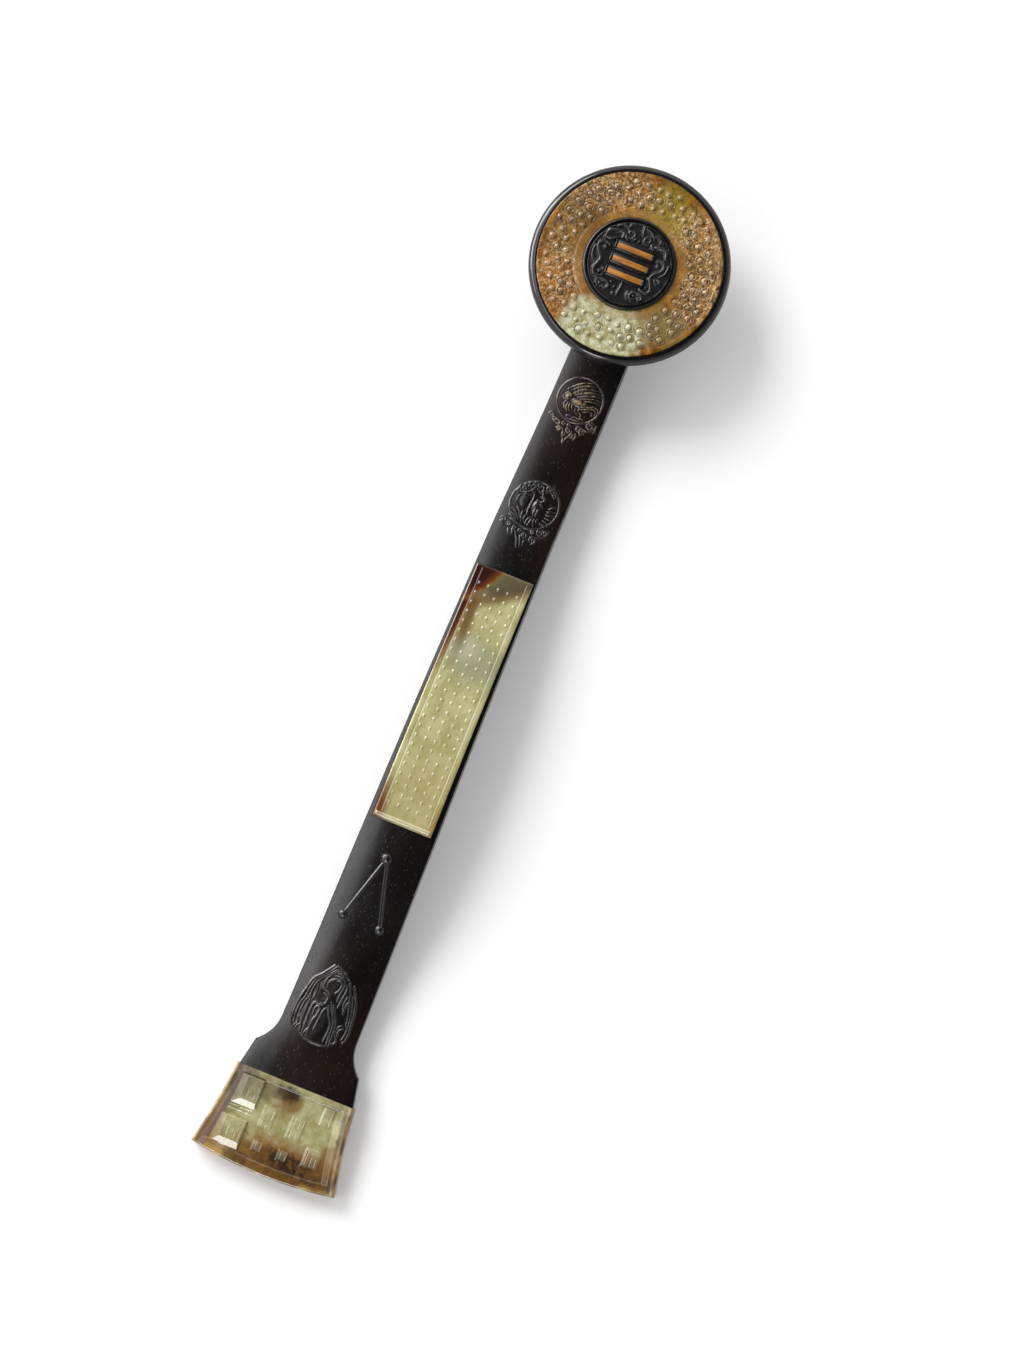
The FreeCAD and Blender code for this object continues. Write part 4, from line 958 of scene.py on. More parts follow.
MOON_LEAVES = [
    (0.70, [(-7.6, -4.2), (-5.6, -5.1), (-4.0, -6.8)]),
    (0.70, [(-8.0, -5.4), (-6.0, -6.2), (-4.3, -7.5)]),
    (0.70, [(-7.9, -6.7), (-5.9, -7.6), (-4.2, -8.2)]),
    (0.65, [(-6.6, -8.1), (-4.4, -8.9), (-2.4, -9.0)]),
    (0.65, [(-6.0, -2.9), (-4.6, -4.2), (-3.4, -6.4)]),
    (0.65, [(-3.4, -3.8), (-3.1, -5.8), (-2.4, -7.6)]),
    (0.65, [(5.8, 0.7), (7.4, 1.9), (8.2, 2.0)]),
    (0.70, [(5.5, -0.6), (7.2, -0.1), (8.9, 0.2)]),
    (0.70, [(5.6, -1.9), (7.4, -1.6), (9.0, -1.5)]),
    (0.65, [(5.7, -3.2), (7.2, -3.2), (8.6, -3.3)]),
    (0.60, [(5.4, -4.5), (6.8, -4.8), (7.9, -5.2)]),
    (0.55, [(4.6, -6.0), (5.9, -6.1), (6.9, -6.5)]),
]
MOON_CURLS = [
    ((-8.9, -9.2), 1.2, 170, -1.1), ((-6.4, -10.4), 1.0, 150, -1.0), ((-3.6, -10.9), 0.9, 60, 1.0),
    ((-1.2, -11.3), 0.9, 30, 1.1), ((1.2, -12.4), 1.3, 110, 1.3), ((4.3, -13.3), 1.2, 0, 1.1),
    ((6.4, -9.4), 1.6, 60, 1.3), ((8.3, -8.8), 1.0, -40, 1.1), ((3.4, -10.4), 0.9, 160, -1.0),
]
MOON_WISPS = [
    (0.80, [(-10.0, -10.0), (-8.9, -10.8), (-7.9, -11.9)]),
    (0.75, [(-5.9, -12.1), (-5.3, -13.1), (-4.9, -14.2)]),
    (0.65, [(-4.4, -11.5), (-3.9, -12.7), (-3.9, -13.7)]),
    (0.60, [(9.4, -7.6), (8.6, -10.0), (6.4, -11.6), (3.2, -12.0)]),
    (0.60, [(5.2, -12.0), (5.8, -13.4), (4.8, -14.8)]),
    (0.60, [(-2.9, -12.2), (-1.9, -13.8), (-0.9, -15.6), (-0.2, -17.8)]),
    (0.70, [(-0.6, -13.0), (0.2, -15.0), (1.0, -17.2)]),
    (0.55, [(2.4, -13.6), (1.6, -15.0), (1.8, -16.6)]),
]


def draw_moon(carving):
    """A hare at its mortar under a tree in a ring, over trailing clouds."""
    carving.ring((0, 0), MOON_RING_RADIUS, 0.95, 0.32)
    carving.dome((0.9, -0.2), (3.6, 5.6), 0.45, 0, 0.8)
    carving.dome((-4.2, 0.4), (4.6, 5.8), 0.20, 10, 0.8)
    carving.strokes(MOON_TREE + MOON_HARE, 0.56, 1.75)
    carving.strokes(MOON_LEAVES, 0.50, 1.75)
    carving.strokes(MOON_WISPS, 0.48, 1.75)
    for middle, radius in MOON_CLUMPS:
        carving.ring(middle, radius * 0.8, 0.90, 0.44)
    for middle, radius, start, turns in MOON_CURLS:
        carving.curl(middle, radius, start, turns, 1.0, 0.44)


STARS_X = -0.0915
STAR_PLACES = [(-0.4, 13.3), (-8.3, -12.8), (7.4, -13.4)]
STAR_SIZES = (4.3, 3.7, 3.9)


def draw_stars(carving):
    """Three round stars joined by a single and a double ridge."""
    leading, left, right = STAR_PLACES
    for place, size in zip(STAR_PLACES, STAR_SIZES):
        carving.dome(place, (size, size), 1.5, 0, 0.5)
    carving.stroke([leading, left], 1.4, 0.50, 0.0, False)
    for offset in (-0.45, 0.45):
        start = (leading[0] + offset + 0.3, leading[1])
        carving.stroke([start, (right[0] + offset, right[1])], 0.95, 0.42, 0.0, False)


MOUNTAIN_X = -0.128
MOUNTAIN_RIDGES = [
    (0.80, [(-3.5, 4.1), (-6.6, -0.4), (-9.2, -3.3), (-10.4, -7.5), (-11.4, -12), (-11.9, -17),
            (-11.8, -21.2), (-11.0, -23.2)]),
    (0.75, [(-2.6, 3.7), (-5.6, -0.5), (-8.2, -3.4), (-9.2, -7.2), (-9.7, -11), (-10.7, -14.6),
            (-10.8, -19), (-10.2, -22.4)]),
    (0.70, [(-1.8, 3.0), (-4.6, -0.4), (-6.9, -3.2), (-8.0, -6.4), (-8.3, -10), (-9.3, -13.6),
            (-9.6, -17.6)]),
    (0.70, [(-1.0, 2.6), (-3.6, -0.2), (-4.6, -2.8), (-4.6, -5.4)]),
    (0.65, [(-2.2, 4.4), (-0.6, 3.6), (0.6, 2.6), (1.9, 2.9)]),
    (0.60, [(-1.4, 2.0), (0.2, 2.2), (1.6, 1.2)]),
    (0.75, [(-3.0, -5.4), (-3.2, -2.9), (-1.4, -1.0), (0.7, -0.5), (2.0, -1.8), (1.7, -4.4),
            (0.7, -5.8)]),
    (0.60, [(-2.2, 0.8), (0.0, 0.9), (2.2, 0.2), (3.0, -2.0), (2.6, -5.4), (2.4, -8.4)]),
    (0.60, [(-4.8, -4.4), (-3.6, -5.6), (-1.8, -6.2), (-1.0, -7.9)]),
    (0.55, [(-3.4, -7.4), (-2.0, -7.6), (-1.0, -8.6)]),
    (0.75, [(-5.8, -25.0), (-5.8, -13.2), (-3.5, -11.8), (-1.6, -11.0), (-1.2, -8.6)]),
    (0.65, [(-3.8, -25.2), (-3.7, -19.0), (-2.9, -16.6), (-2.7, -13.6), (-3.6, -12.9), (-4.5, -14.0),
            (-4.6, -16.4)]),
    (0.65, [(-2.0, -21.8), (-1.5, -17.4), (-1.2, -14.2), (-0.4, -12.5), (0.6, -12.6)]),
    (0.70, [(-7.7, -9.4), (-7.8, -14.0), (-7.7, -18.6), (-7.6, -22.4)]),
    (0.65, [(-8.9, -24.2), (-8.4, -22.6), (-7.2, -22.0), (-6.8, -24.6)]),
    (0.60, [(-5.2, -25.2), (-4.6, -23.6), (-3.9, -22.2)]),
    (0.60, [(-6.9, -4.6), (-6.4, -8.2), (-7.0, -11.4)]),
    (0.65, [(0.6, -9.8), (2.6, -13.4), (4.4, -17.5), (4.9, -25.4)]),
    (0.60, [(1.8, -10.4), (3.8, -13.8), (5.5, -17.9), (5.8, -25.6)]),
    (0.55, [(0.0, -11.2), (1.4, -14.6), (3.2, -17.4), (3.6, -20.6), (3.2, -24.8)]),
    (0.65, [(3.2, -0.8), (4.4, -2.6), (4.0, -7.2), (3.6, -10.6)]),
    (0.65, [(5.7, -5.6), (5.4, -8.2), (5.6, -10.4)]),
    (0.70, [(6.8, -7.4), (6.2, -10.0), (6.4, -12.2)]),
    (0.60, [(4.6, -0.2), (6.2, -4.0), (7.4, -8.0), (8.6, -12.0), (9.2, -16.0)]),
    (0.70, [(6.5, -0.8), (8.6, -4.6), (10.2, -9.2), (11.1, -15.4), (11.3, -20.0), (10.5, -22.9)]),
    (0.60, [(7.6, -4.8), (9.2, -9.6), (10.1, -15.3), (10.2, -19.4), (9.6, -22.0)]),
    (0.60, [(6.5, -19.4), (6.8, -17.8), (7.9, -16.6)]),
    (0.60, [(7.6, -21.2), (7.5, -19.0), (8.8, -17.6)]),
    (0.60, [(6.2, -20.4), (7.6, -22.4), (7.6, -24.0), (6.2, -24.8)]),
    (0.55, [(-9.4, -19.6), (-9.0, -21.4), (-9.8, -23.6)]),
    (0.55, [(1.0, 3.0), (2.6, 1.6), (3.8, 0.8)]),
]
MOUNTAIN_BASE = [(0.65, [(-5.0, -26.1), (-1.0, -26.8), (2.8, -26.7), (6.4, -25.9)])]


def draw_mountain(carving):
    """A steep mountain of flowing ridges, with a hollow near its peak and arched caves."""
    carving.dome((0.0, -13.5), (23.4, 29.0), 0.22, 0, 0.35)
    carving.dome((0.0, -1.0), (8.0, 10.0), 0.22, 0, 0.35)
    carving.strokes(MOUNTAIN_RIDGES, 0.55, 1.9, 0.25)
    carving.strokes(MOUNTAIN_BASE, 0.45, 1.3)


for name, middle_x, low, high, draw, swell, wood in (
        ("sun_carving", SUN_X, (-10.0, -18.6), (10.6, 9.6), draw_sun, CARVING_SWELL, gilt_and_highlight_zitan),
        ("moon_carving", MOON_X, (-10.8, -18.4), (10.2, 10.0), draw_moon, CARVING_SWELL, carved_zitan),
        ("star_carving", STARS_X, (-10.4, -15.8), (9.6, 15.8), draw_stars, 0.0, carved_zitan),
        ("mountain_carving", MOUNTAIN_X, (-12.8, -27.6), (12.4, 5.4), draw_mountain, CARVING_SWELL,
         carved_zitan)):
    piece = carved_piece(name, middle_x, low, high, draw, swell)
    finished(piece, wood, (), 60)


# ---------------------------------------------------------------- head

def quarter(start, end, steps=9):
    """Quarter of an ellipse from a level start to an upright end, in (radius, z)."""
    places = []
    for step in range(steps + 1):
        turn = math.pi / 2 * step / steps
        places.append((start[0] + (end[0] - start[0]) * math.sin(turn),
                       end[1] - (end[1] - start[1]) * math.cos(turn)))
    return places


PEG_HOLE_RADIUS = 0.004
TRAY_FLAT_RADIUS = 0.0213
TRAY_BOWL_FROM_RADIUS = 0.0220
TRAY_WIDEST_BELOW_TOP = 0.0034
TRAY_RIM_FLAT = 0.0006
TRAY_LIP_CHAMFER = 0.00015
TRAY_SIDES = 160


def head_tray():
    """The round tray, with a rounded rim and a bowl-shaped underside."""
    inner = TRAY_RADIUS - TRAY_RIM_WIDTH
    widest = (TRAY_RADIUS, TRAY_TOP_Z - TRAY_WIDEST_BELOW_TOP)
    profile = [(PEG_HOLE_RADIUS, TRAY_UNDERSIDE_Z), (TRAY_FLAT_RADIUS, TRAY_UNDERSIDE_Z)]
    profile += quarter((TRAY_BOWL_FROM_RADIUS, TRAY_UNDERSIDE_Z), widest)
    profile += reversed(quarter((inner + TRAY_RIM_FLAT, TRAY_TOP_Z), widest, 7)[:-1])
    profile += [(inner + TRAY_LIP_CHAMFER, TRAY_TOP_Z), (inner, TRAY_TOP_Z - TRAY_LIP_CHAMFER)]
    profile += [(inner, TRAY_FLOOR_Z), (PEG_HOLE_RADIUS, TRAY_FLOOR_Z)]
    return turned("head_tray", profile, HEAD_X, TRAY_SIDES)


finished(head_tray(), polished_zitan, ["head_dish"], 40)


def polar_sheet(name, inner, outer, cells):
    """A ring of cells round the head's middle, with x, y, an empty carving and the reach in mm."""
    piece, share_around, share_out = grid(name, *cells)
    angle = 2 * math.pi * share_around
    radius = inner + share_out * (outer - inner)
    x = HEAD_X + radius * np.cos(angle)
    y = radius * np.sin(angle)
    return piece, x, y, Carving(-y / MM, (x - HEAD_X) / MM), radius / MM


def step_up(value, at, width):
    """0 below a place and 1 above it, with a rounded step between."""
    t = np.clip((value - at) / width + 0.5, 0, 1)
    return t * t * (3 - 2 * t)


DISC_CELLS = (760, 84)
DISC_GRAIN_SPACING = 4.5
DISC_ROW_STEP = DISC_GRAIN_SPACING * math.sqrt(3) / 2
DISC_GRAIN_WANDER = 0.6
DISC_GRAIN_SIZES = (2.0, 2.8)
DISC_GRAIN_HEIGHTS = (0.55, 0.80)
DISC_GRAIN_FROM_BORDER = 1.5
DISC_GRAIN_ROWS = range(-9, 10)
DISC_CURL_SHARE = 0.15
DISC_BORDER_HEIGHT = 0.16
DISC_GROUND = (21.7, 34.4)
DISC_BORDER_STEPS = (1.3, 1.0)
DISC_EDGE_ROUNDING = (0.25, 0.35)
# A curl round a grain: how far outside the grain it runs, its width and its height.
GRAIN_CURL = (0.45, 0.42, 0.24)


def grain_places():
    """Middles of the disc's grains, in staggered rows with a little wander."""
    chance = random.Random(11)
    nearest = DISC_GROUND[0] + DISC_GRAIN_FROM_BORDER
    furthest = DISC_GROUND[1] - DISC_GRAIN_FROM_BORDER
    places = []
    for row in DISC_GRAIN_ROWS:
        for column in DISC_GRAIN_ROWS:
            up = row * DISC_ROW_STEP
            right = -(column * DISC_GRAIN_SPACING + (DISC_GRAIN_SPACING / 2 if row % 2 else 0))
            if nearest < math.hypot(up, right) < furthest:
                right += chance.uniform(-DISC_GRAIN_WANDER, DISC_GRAIN_WANDER)
                up += chance.uniform(-DISC_GRAIN_WANDER, DISC_GRAIN_WANDER)
                places.append((right, up))
    return places


def curls_stand(right, up):
    """Whether all curls still stand here: on the right, and at the upper left."""
    return right > 6 and up < 20 or right < -14 and up > 8


def rounded_off(edge, rounding):
    """How far a surface drops towards its edge: the drop at the edge and the width it takes."""
    drop, width = rounding
    return drop * (1 - np.clip(edge / width, 0, 1)) ** 2


def bi_disc():
    """The jade disc: plain raised borders and a ground full of grains, some with curls."""
    piece, x, y, carving, reach = polar_sheet("grained_disc", DISC_HOLE_RADIUS, DISC_RADIUS, DISC_CELLS)
    chance = random.Random(5)
    curl_outside, curl_width, curl_height = GRAIN_CURL
    for right, up in grain_places():
        size = chance.uniform(*DISC_GRAIN_SIZES)
        turn = chance.uniform(0, 360)
        height = chance.uniform(*DISC_GRAIN_HEIGHTS)
        carving.dome((right, up), (size, size * chance.uniform(0.84, 1.0)), height, turn, 0.8)
        if curls_stand(right, up) or chance.random() < DISC_CURL_SHARE:
            carving.ring((right, up), size / 2 + curl_outside, curl_width, curl_height)
    carry(piece, "ridge", carving.rise)
    inner_border, outer_border = (
        step_up(reach, place, width) for place, width in zip(DISC_GROUND, DISC_BORDER_STEPS))
    border = 1 - inner_border + outer_border
    carving.rise = np.maximum(carving.rise, border * DISC_BORDER_HEIGHT)
    edge = np.minimum(reach - DISC_HOLE_RADIUS / MM, DISC_RADIUS / MM - reach)
    rounding = rounded_off(edge, DISC_EDGE_ROUNDING)
    z = TRAY_TOP_Z + (carving.rise - DISC_BORDER_HEIGHT - rounding) * MM
    move_points(piece, np.stack([x, y, z], 1))
    close_below(piece, TRAY_FLOOR_Z, holed=True)
    return piece


finished(bi_disc(), russet_jade, ["jade_disc"], 50)

BOSS_STROKES = [
    (0.95, [(-10.0, 4.7), (-12.5, 4.9), (-14.1, 2.9), (-13.0, 0.5), (-11.3, -1.8), (-11.9, -4.2),
            (-12.5, -6.6), (-11.4, -8.7), (-9.2, -8.6), (-8.0, -6.9), (-8.8, -5.4)]),
    (0.85, [(-15.2, 2.2), (-15.0, -1.4), (-13.6, -3.6), (-12.0, -3.0)]),
    (0.95, [(9.6, 4.9), (11.8, 5.2), (13.0, 3.4), (12.2, 1.2), (10.3, -0.4), (9.4, -2.4),
            (10.6, -5.0), (11.2, -7.0), (10.0, -8.6), (7.9, -8.0), (7.3, -6.4)]),
    (0.75, [(14.6, 4.2), (14.2, 1.2), (12.6, -0.6)]),
    (1.00, [(-12.7, 6.8), (-12.0, 9.6), (-9.2, 10.7), (-6.4, 10.8), (-6.2, 9.0)]),
    (0.85, [(-12.2, 6.6), (-10.0, 6.9), (-7.9, 8.0)]),
    (0.80, [(-9.6, 12.4), (-7.4, 13.6), (-5.4, 13.2), (-4.8, 14.6), (-3.0, 15.2)]),
    (0.80, [(-5.5, 10.4), (-4.8, 9.0), (-3.6, 8.0)]),
    (1.00, [(12.4, 6.6), (11.6, 9.4), (9.2, 10.2), (7.0, 9.6)]),
    (0.90, [(5.2, 10.0), (6.0, 8.8), (7.0, 7.8)]),
    (0.80, [(9.2, 12.2), (6.8, 13.6), (5.0, 13.0), (3.6, 14.4), (1.4, 15.0)]),
    (0.70, [(0.3, 15.6), (0.4, 14.0), (1.0, 12.4)]),
    (0.80, [(-10.2, -9.8), (-8.0, -9.2), (-5.8, -9.5), (-4.6, -11.0), (-5.6, -12.4), (-7.0, -11.8)]),
    (0.80, [(9.6, -10.2), (7.6, -9.6), (5.6, -9.8), (4.4, -11.4), (5.2, -12.6), (6.6, -12.2)]),
    (0.75, [(0.2, -7.8), (0.0, -10.0), (-0.4, -12.8)]),
    (0.80, [(3.6, -10.4), (3.4, -11.6), (4.0, -12.8)]),
]
BOSS_CURLS = [
    ((-3.6, 11.2), 2.0, 200, 1.3), ((3.4, 11.0), 2.0, -20, -1.3), ((12.6, -2.6), 1.4, 160, 1.0),
    ((-8.7, -11.2), 1.2, 90, 1.0), ((8.4, -11.4), 1.1, 90, -1.0), ((-1.9, 9.8), 1.0, 90, 1.0),
]
BOSS_DOTS = [
    ((-11.2, 2.9), 1.9), ((10.6, 3.0), 1.9), ((-10.0, -6.8), 1.6), ((9.2, -6.4), 1.5),
    ((8.3, 12.0), 1.4), ((0.2, 9.3), 1.2), ((-4.0, -9.0), 1.4), ((-2.3, -10.4), 1.4),
    ((-1.9, -13.0), 1.4), ((6.0, -11.1), 1.4),
]
BAR_SPACING = 5.3
BAR_LENGTH = 14.2
BAR_WIDTH = 2.1
FRAME_WIDTH = 1.0
FRAME_GAP = 0.05
FRAME_DEPTH = 0.0018
FRAME_ROUNDING = 0.00016
BAR_ROUNDING = 0.00014
# The plain field that the bars lie in.
BAR_FIELD_MARGIN = 0.3
BAR_FIELD_PAST_ROW = 1.9
BAR_FIELD_STEP = 0.4
BOSS_CELLS = (420, 84)
BOSS_GROUND_DEPTH = 1.1
BOSS_SCROLL_HEIGHT = 0.85
BOSS_DOT_HEIGHT = 0.90
BOSS_CURL_WIDTH = 1.2
BOSS_CURL_HEIGHT = 0.75
BOSS_SCROLL_WIDER = 1.95
BOSS_BEAD = (16.2, 0.8, 0.50)
BOSS_RIM_FROM = 17.1
BOSS_RIM_STEP = 0.5
BOSS_EDGE_ROUNDING = (0.28, 0.45)


def carved_boss():
    """The round boss: rim, channel, inner bead, scrolls and dots on a sunk ground."""
    piece, x, y, carving, reach = polar_sheet("carved_boss", 0.0, BOSS_RADIUS, BOSS_CELLS)
    carving.strokes(BOSS_STROKES, BOSS_SCROLL_HEIGHT, BOSS_SCROLL_WIDER, thin=0.25)
    for middle, size in BOSS_DOTS:
        carving.dome(middle, (size, size), BOSS_DOT_HEIGHT)
    for middle, curl_radius, start, turns in BOSS_CURLS:
        carving.curl(middle, curl_radius, start, turns, BOSS_CURL_WIDTH, BOSS_CURL_HEIGHT)
    beyond_ends = np.abs(carving.right) - BAR_LENGTH / 2 - FRAME_WIDTH - BAR_FIELD_MARGIN
    beyond_rows = np.abs(carving.up) - BAR_SPACING - BAR_FIELD_PAST_ROW
    beyond = np.maximum(beyond_ends, beyond_rows)
    carving.rise = carving.rise * np.clip(beyond / BAR_FIELD_STEP, 0, 1)
    carving.ring((0, 0), *BOSS_BEAD)
    rim = step_up(reach, BOSS_RIM_FROM, BOSS_RIM_STEP)
    carving.rise = np.maximum(carving.rise, rim * BOSS_GROUND_DEPTH)
    rounding = rounded_off(BOSS_RADIUS / MM - reach, BOSS_EDGE_ROUNDING)
    z = BOSS_TOP_Z + (carving.rise - BOSS_GROUND_DEPTH - rounding) * MM
    z = np.minimum(z, BOSS_TOP_Z)
    move_points(piece, np.stack([x, y, z], 1))
    carry(piece, "ridge", carving.rise)
    close_below(piece, TRAY_FLOOR_Z)
    return piece


def bar_frame(middle_x):
    """A low raised frame round one inlaid bar."""
    half_long = (BAR_LENGTH / 2 + FRAME_WIDTH) * MM
    half_wide = (BAR_WIDTH / 2 + FRAME_WIDTH) * MM
    band = (FRAME_WIDTH - FRAME_GAP) * MM
    low_z = BOSS_TOP_Z - FRAME_DEPTH
    parts = []
    for side in (-1, 1):
        ends_x = sorted((middle_x + side * half_wide, middle_x + side * half_wide - side * band))
        ends_y = sorted((side * half_long, side * half_long - side * band))
        for (low_x, high_x), (low_y, high_y) in (
                (ends_x, (-half_long, half_long)),
                ((middle_x - half_wide, middle_x + half_wide), ends_y)):
            parts.append(bevelled_block(
                "frame", (low_x, low_y, low_z), (high_x, high_y, BOSS_TOP_Z), FRAME_ROUNDING))
    return parts


boss_parts = [carved_boss()]
for node in ("inlay_bar_upper", "inlay_bar_middle", "inlay_bar_lower"):
    bar_low, bar_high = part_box(node)
    bar_high.z -= HAIR
    boss_parts += bar_frame((bar_low.x + bar_high.x) / 2)
    bar_low.x = (bar_low.x + bar_high.x - BAR_WIDTH * MM) / 2
    bar_high.x = bar_low.x + BAR_WIDTH * MM
    bar = bevelled_block(node.replace("inlay", "ochre"), bar_low, bar_high, BAR_ROUNDING)
    finished(bar, ochre, [node], 40)
finished(joined(boss_parts, "carved_boss"), boss_zitan, ["centre_boss"], 50)

# ---------------------------------------------------------------- plaque

PLAQUE_CELLS = (400, 92)
PLAQUE_GRAIN_SIZE = (1.5, 0.95)
PLAQUE_GRAIN_HEIGHT = 0.30
PLAQUE_TAIL = (2.2, 0.34, 0.05)
PLAQUE_BEVEL = 0.6
PLAQUE_LIP = (1.8, 0.5)
PLAQUE_LINE_FROM_EDGE = 2.45
PLAQUE_LINE_FROM_FOOT = 3.0
PLAQUE_LINE_FROM_HEAD = 1.2
PLAQUE_LINE_WIDTH = 0.5
PLAQUE_LINE_DEPTH = 0.12


def slide_plaque():
    """The slide: waved with the shaft, bevelled, with a lip, edge lines and rows of grains."""
    piece, share_x, share_y = grid("grained_plaque", *PLAQUE_CELLS)
    x = PLAQUE_FOOT_X + share_x * (PLAQUE_HEAD_X - PLAQUE_FOOT_X)
    half = plaque_half_width(x)
    y = (share_y - 0.5) * 2 * half
    middle_x = (PLAQUE_FOOT_X + PLAQUE_HEAD_X) / 2
    carving = Carving(-y / MM, (x - middle_x) / MM)
    from_side = (half - np.abs(y)) / MM
    from_foot = (x - PLAQUE_FOOT_X) / MM
    from_head = (PLAQUE_HEAD_X - x) / MM
    pitch = PLAQUE_PITCH / MM
    tail_length, tail_width, tail_height = PLAQUE_TAIL
    for row in range(PLAQUE_ROWS):
        for column in range(PLAQUE_COLUMNS):
            up = (row - (PLAQUE_ROWS - 1) / 2) * pitch
            right = (column - (PLAQUE_COLUMNS - 1) / 2) * pitch
            tail = [(right, up), (right, up - tail_length)]
            carving.dome((right, up), PLAQUE_GRAIN_SIZE, PLAQUE_GRAIN_HEIGHT, 90, 0.8)
            carving.stroke(tail, tail_width, tail_height, 0.4, False)
    lip_width, lip_height = PLAQUE_LIP
    lip_middle = PLAQUE_BEVEL + lip_width / 2
    lip = np.sqrt(arch(from_foot - lip_middle, lip_width))
    lip_sides = np.clip((from_side - PLAQUE_BEVEL) / 0.5, 0, 1)
    carving.rise = np.maximum(carving.rise, lip_height * lip * lip_sides)
    lined = (from_foot > PLAQUE_LINE_FROM_FOOT) & (from_head > PLAQUE_LINE_FROM_HEAD)
    line = lined * arch(from_side - PLAQUE_LINE_FROM_EDGE, PLAQUE_LINE_WIDTH)
    carry(piece, "ridge", carving.rise)
    carving.rise = carving.rise - PLAQUE_LINE_DEPTH * line
    edge = np.minimum(np.minimum(from_side, from_foot), from_head)
    bevel = rounded_off(edge, (PLAQUE_BEVEL, PLAQUE_BEVEL))
    z = height_on(TOP_LEVELS, x) + PLAQUE_PROUD + (carving.rise - bevel) * MM
    move_points(piece, np.stack([x, y, z], 1))
    give_underside(piece, bed_height)
    return piece


finished(slide_plaque(), celadon_jade, ["jade_plaque"], 40)

# ---------------------------------------------------------------- chape

def chape_half_width(x):
    corner_x = FOOT_TIP_X + CHAPE_TIP_BOW
    share = (JUNCTION_X - x) / (JUNCTION_X - corner_x)
    straight = CHAPE_HALF_WIDTH_AT_SHAFT + share * (CHAPE_HALF_WIDTH_AT_TIP - CHAPE_HALF_WIDTH_AT_SHAFT)
    hollow = CHAPE_SIDE_HOLLOW * 4 * np.clip(share, 0, 1) * (1 - np.clip(share, 0, 1))
    return np.minimum(straight - hollow, CHAPE_HALF_WIDTH_AT_TIP)


def raised_block(right, up, low, high, height, slopes):
    """A block with sloping sides; slopes are the widths at its left, right, foot and head."""
    left, right_side, foot, head = slopes
    inside = np.minimum.reduce([
        (right - low[0]) / left, (high[0] - right) / right_side,
        (up - low[1]) / foot, (high[1] - up) / head])
    return height * np.clip(inside, 0, 1)


# Blocks of the fret: low corner, high corner, slopes at left, right, foot and head, height.
FRET_BLOCKS = [
    ((-21.6, 3.2), (-11.4, 15.4), (3.2, 0.5, 2.7, 0.4), 0.95),
    ((-8.4, -2.4), (-2.6, 7.3), (0.7, 0.7, 1.3, 0.7), 0.22),
    ((3.1, -2.3), (9.4, 7.3), (0.7, 0.7, 1.3, 0.7), 0.22),
    ((13.6, 7.2), (18.6, 15.2), (0.8, 0.8, 0.8, 0.6), 0.18),
    ((-23.6, -13.6), (-12.0, -1.6), (3.0, 0.5, 3.1, 0.4), 0.95),
    ((-7.4, -11.6), (-2.8, -6.8), (0.6, 0.6, 1.2, 0.6), 0.20),
    ((3.0, -11.6), (7.5, -6.6), (0.6, 0.6, 1.2, 0.6), 0.20),
    ((12.8, -10.4), (20.4, -1.8), (0.9, 1.6, 1.6, 0.6), 0.22),
]
# Grooves cut into the blocks as squared scrolls: low corner and high corner.
FRET_GROOVES = [
    ((-18.0, 12.7), (-11.8, 13.3)), ((-16.8, 9.8), (-12.6, 10.4)), ((-16.8, 7.2), (-16.2, 10.4)),
    ((-16.8, 7.2), (-13.4, 7.8)), ((-14.0, 7.2), (-13.4, 9.2)), ((-12.6, 6.6), (-12.0, 10.4)),
    ((-7.6, 5.2), (-4.0, 5.8)), ((-4.4, 2.2), (-3.8, 5.8)), ((-7.8, 2.2), (-3.8, 2.8)),
    ((-7.8, -1.2), (-7.2, 2.8)), ((-6.4, 0.4), (-3.2, 1.0)), ((-5.6, -2.0), (-5.0, 0.2)),
    ((4.4, 3.4), (5.0, 6.9)), ((4.4, 3.2), (7.0, 3.8)), ((6.5, 3.8), (7.1, 6.0)), ((5.8, 1.6), (9.2, 2.2)),
    ((4.4, -1.6), (5.0, 1.8)), ((6.6, -1.8), (7.2, 0.6)), ((8.0, 3.6), (8.6, 6.4)),
    ((14.6, 12.8), (17.8, 13.4)), ((17.0, 8.4), (17.6, 13.4)), ((14.6, 10.2), (16.2, 10.8)),
    ((-19.8, -4.0), (-12.6, -3.4)), ((-18.8, -6.2), (-14.0, -5.6)), ((-18.8, -9.8), (-18.2, -5.6)),
    ((-18.8, -9.8), (-15.0, -9.2)), ((-15.6, -9.8), (-15.0, -7.2)), ((-13.8, -10.2), (-13.2, -5.6)),
    ((-6.4, -10.6), (-5.8, -7.2)), ((-6.4, -10.6), (-3.8, -10.0)), ((-4.4, -10.6), (-3.8, -8.0)),
    ((3.9, -10.6), (4.5, -7.2)), ((3.9, -10.6), (6.6, -10.0)), ((6.0, -10.6), (6.6, -8.0)),
    ((13.8, -3.6), (19.0, -3.0)), ((13.8, -9.0), (14.4, -3.0)), ((15.8, -6.0), (18.2, -5.4)),
    ((15.8, -8.8), (16.4, -5.4)), ((17.6, -8.8), (18.2, -5.4)),
]
CHAPE_CELLS = (220, 330)
CHAPE_MIDDLE_X = -0.191
CHAPE_PANEL_DEPTH = 1.0
CHAPE_PANEL_FROM_SHAFT = 2.5
CHAPE_PANEL_FROM_TIP = 3.9
CHAPE_PANEL_STEP = 0.9
CHAPE_CHAMFER = (0.5, 0.8)
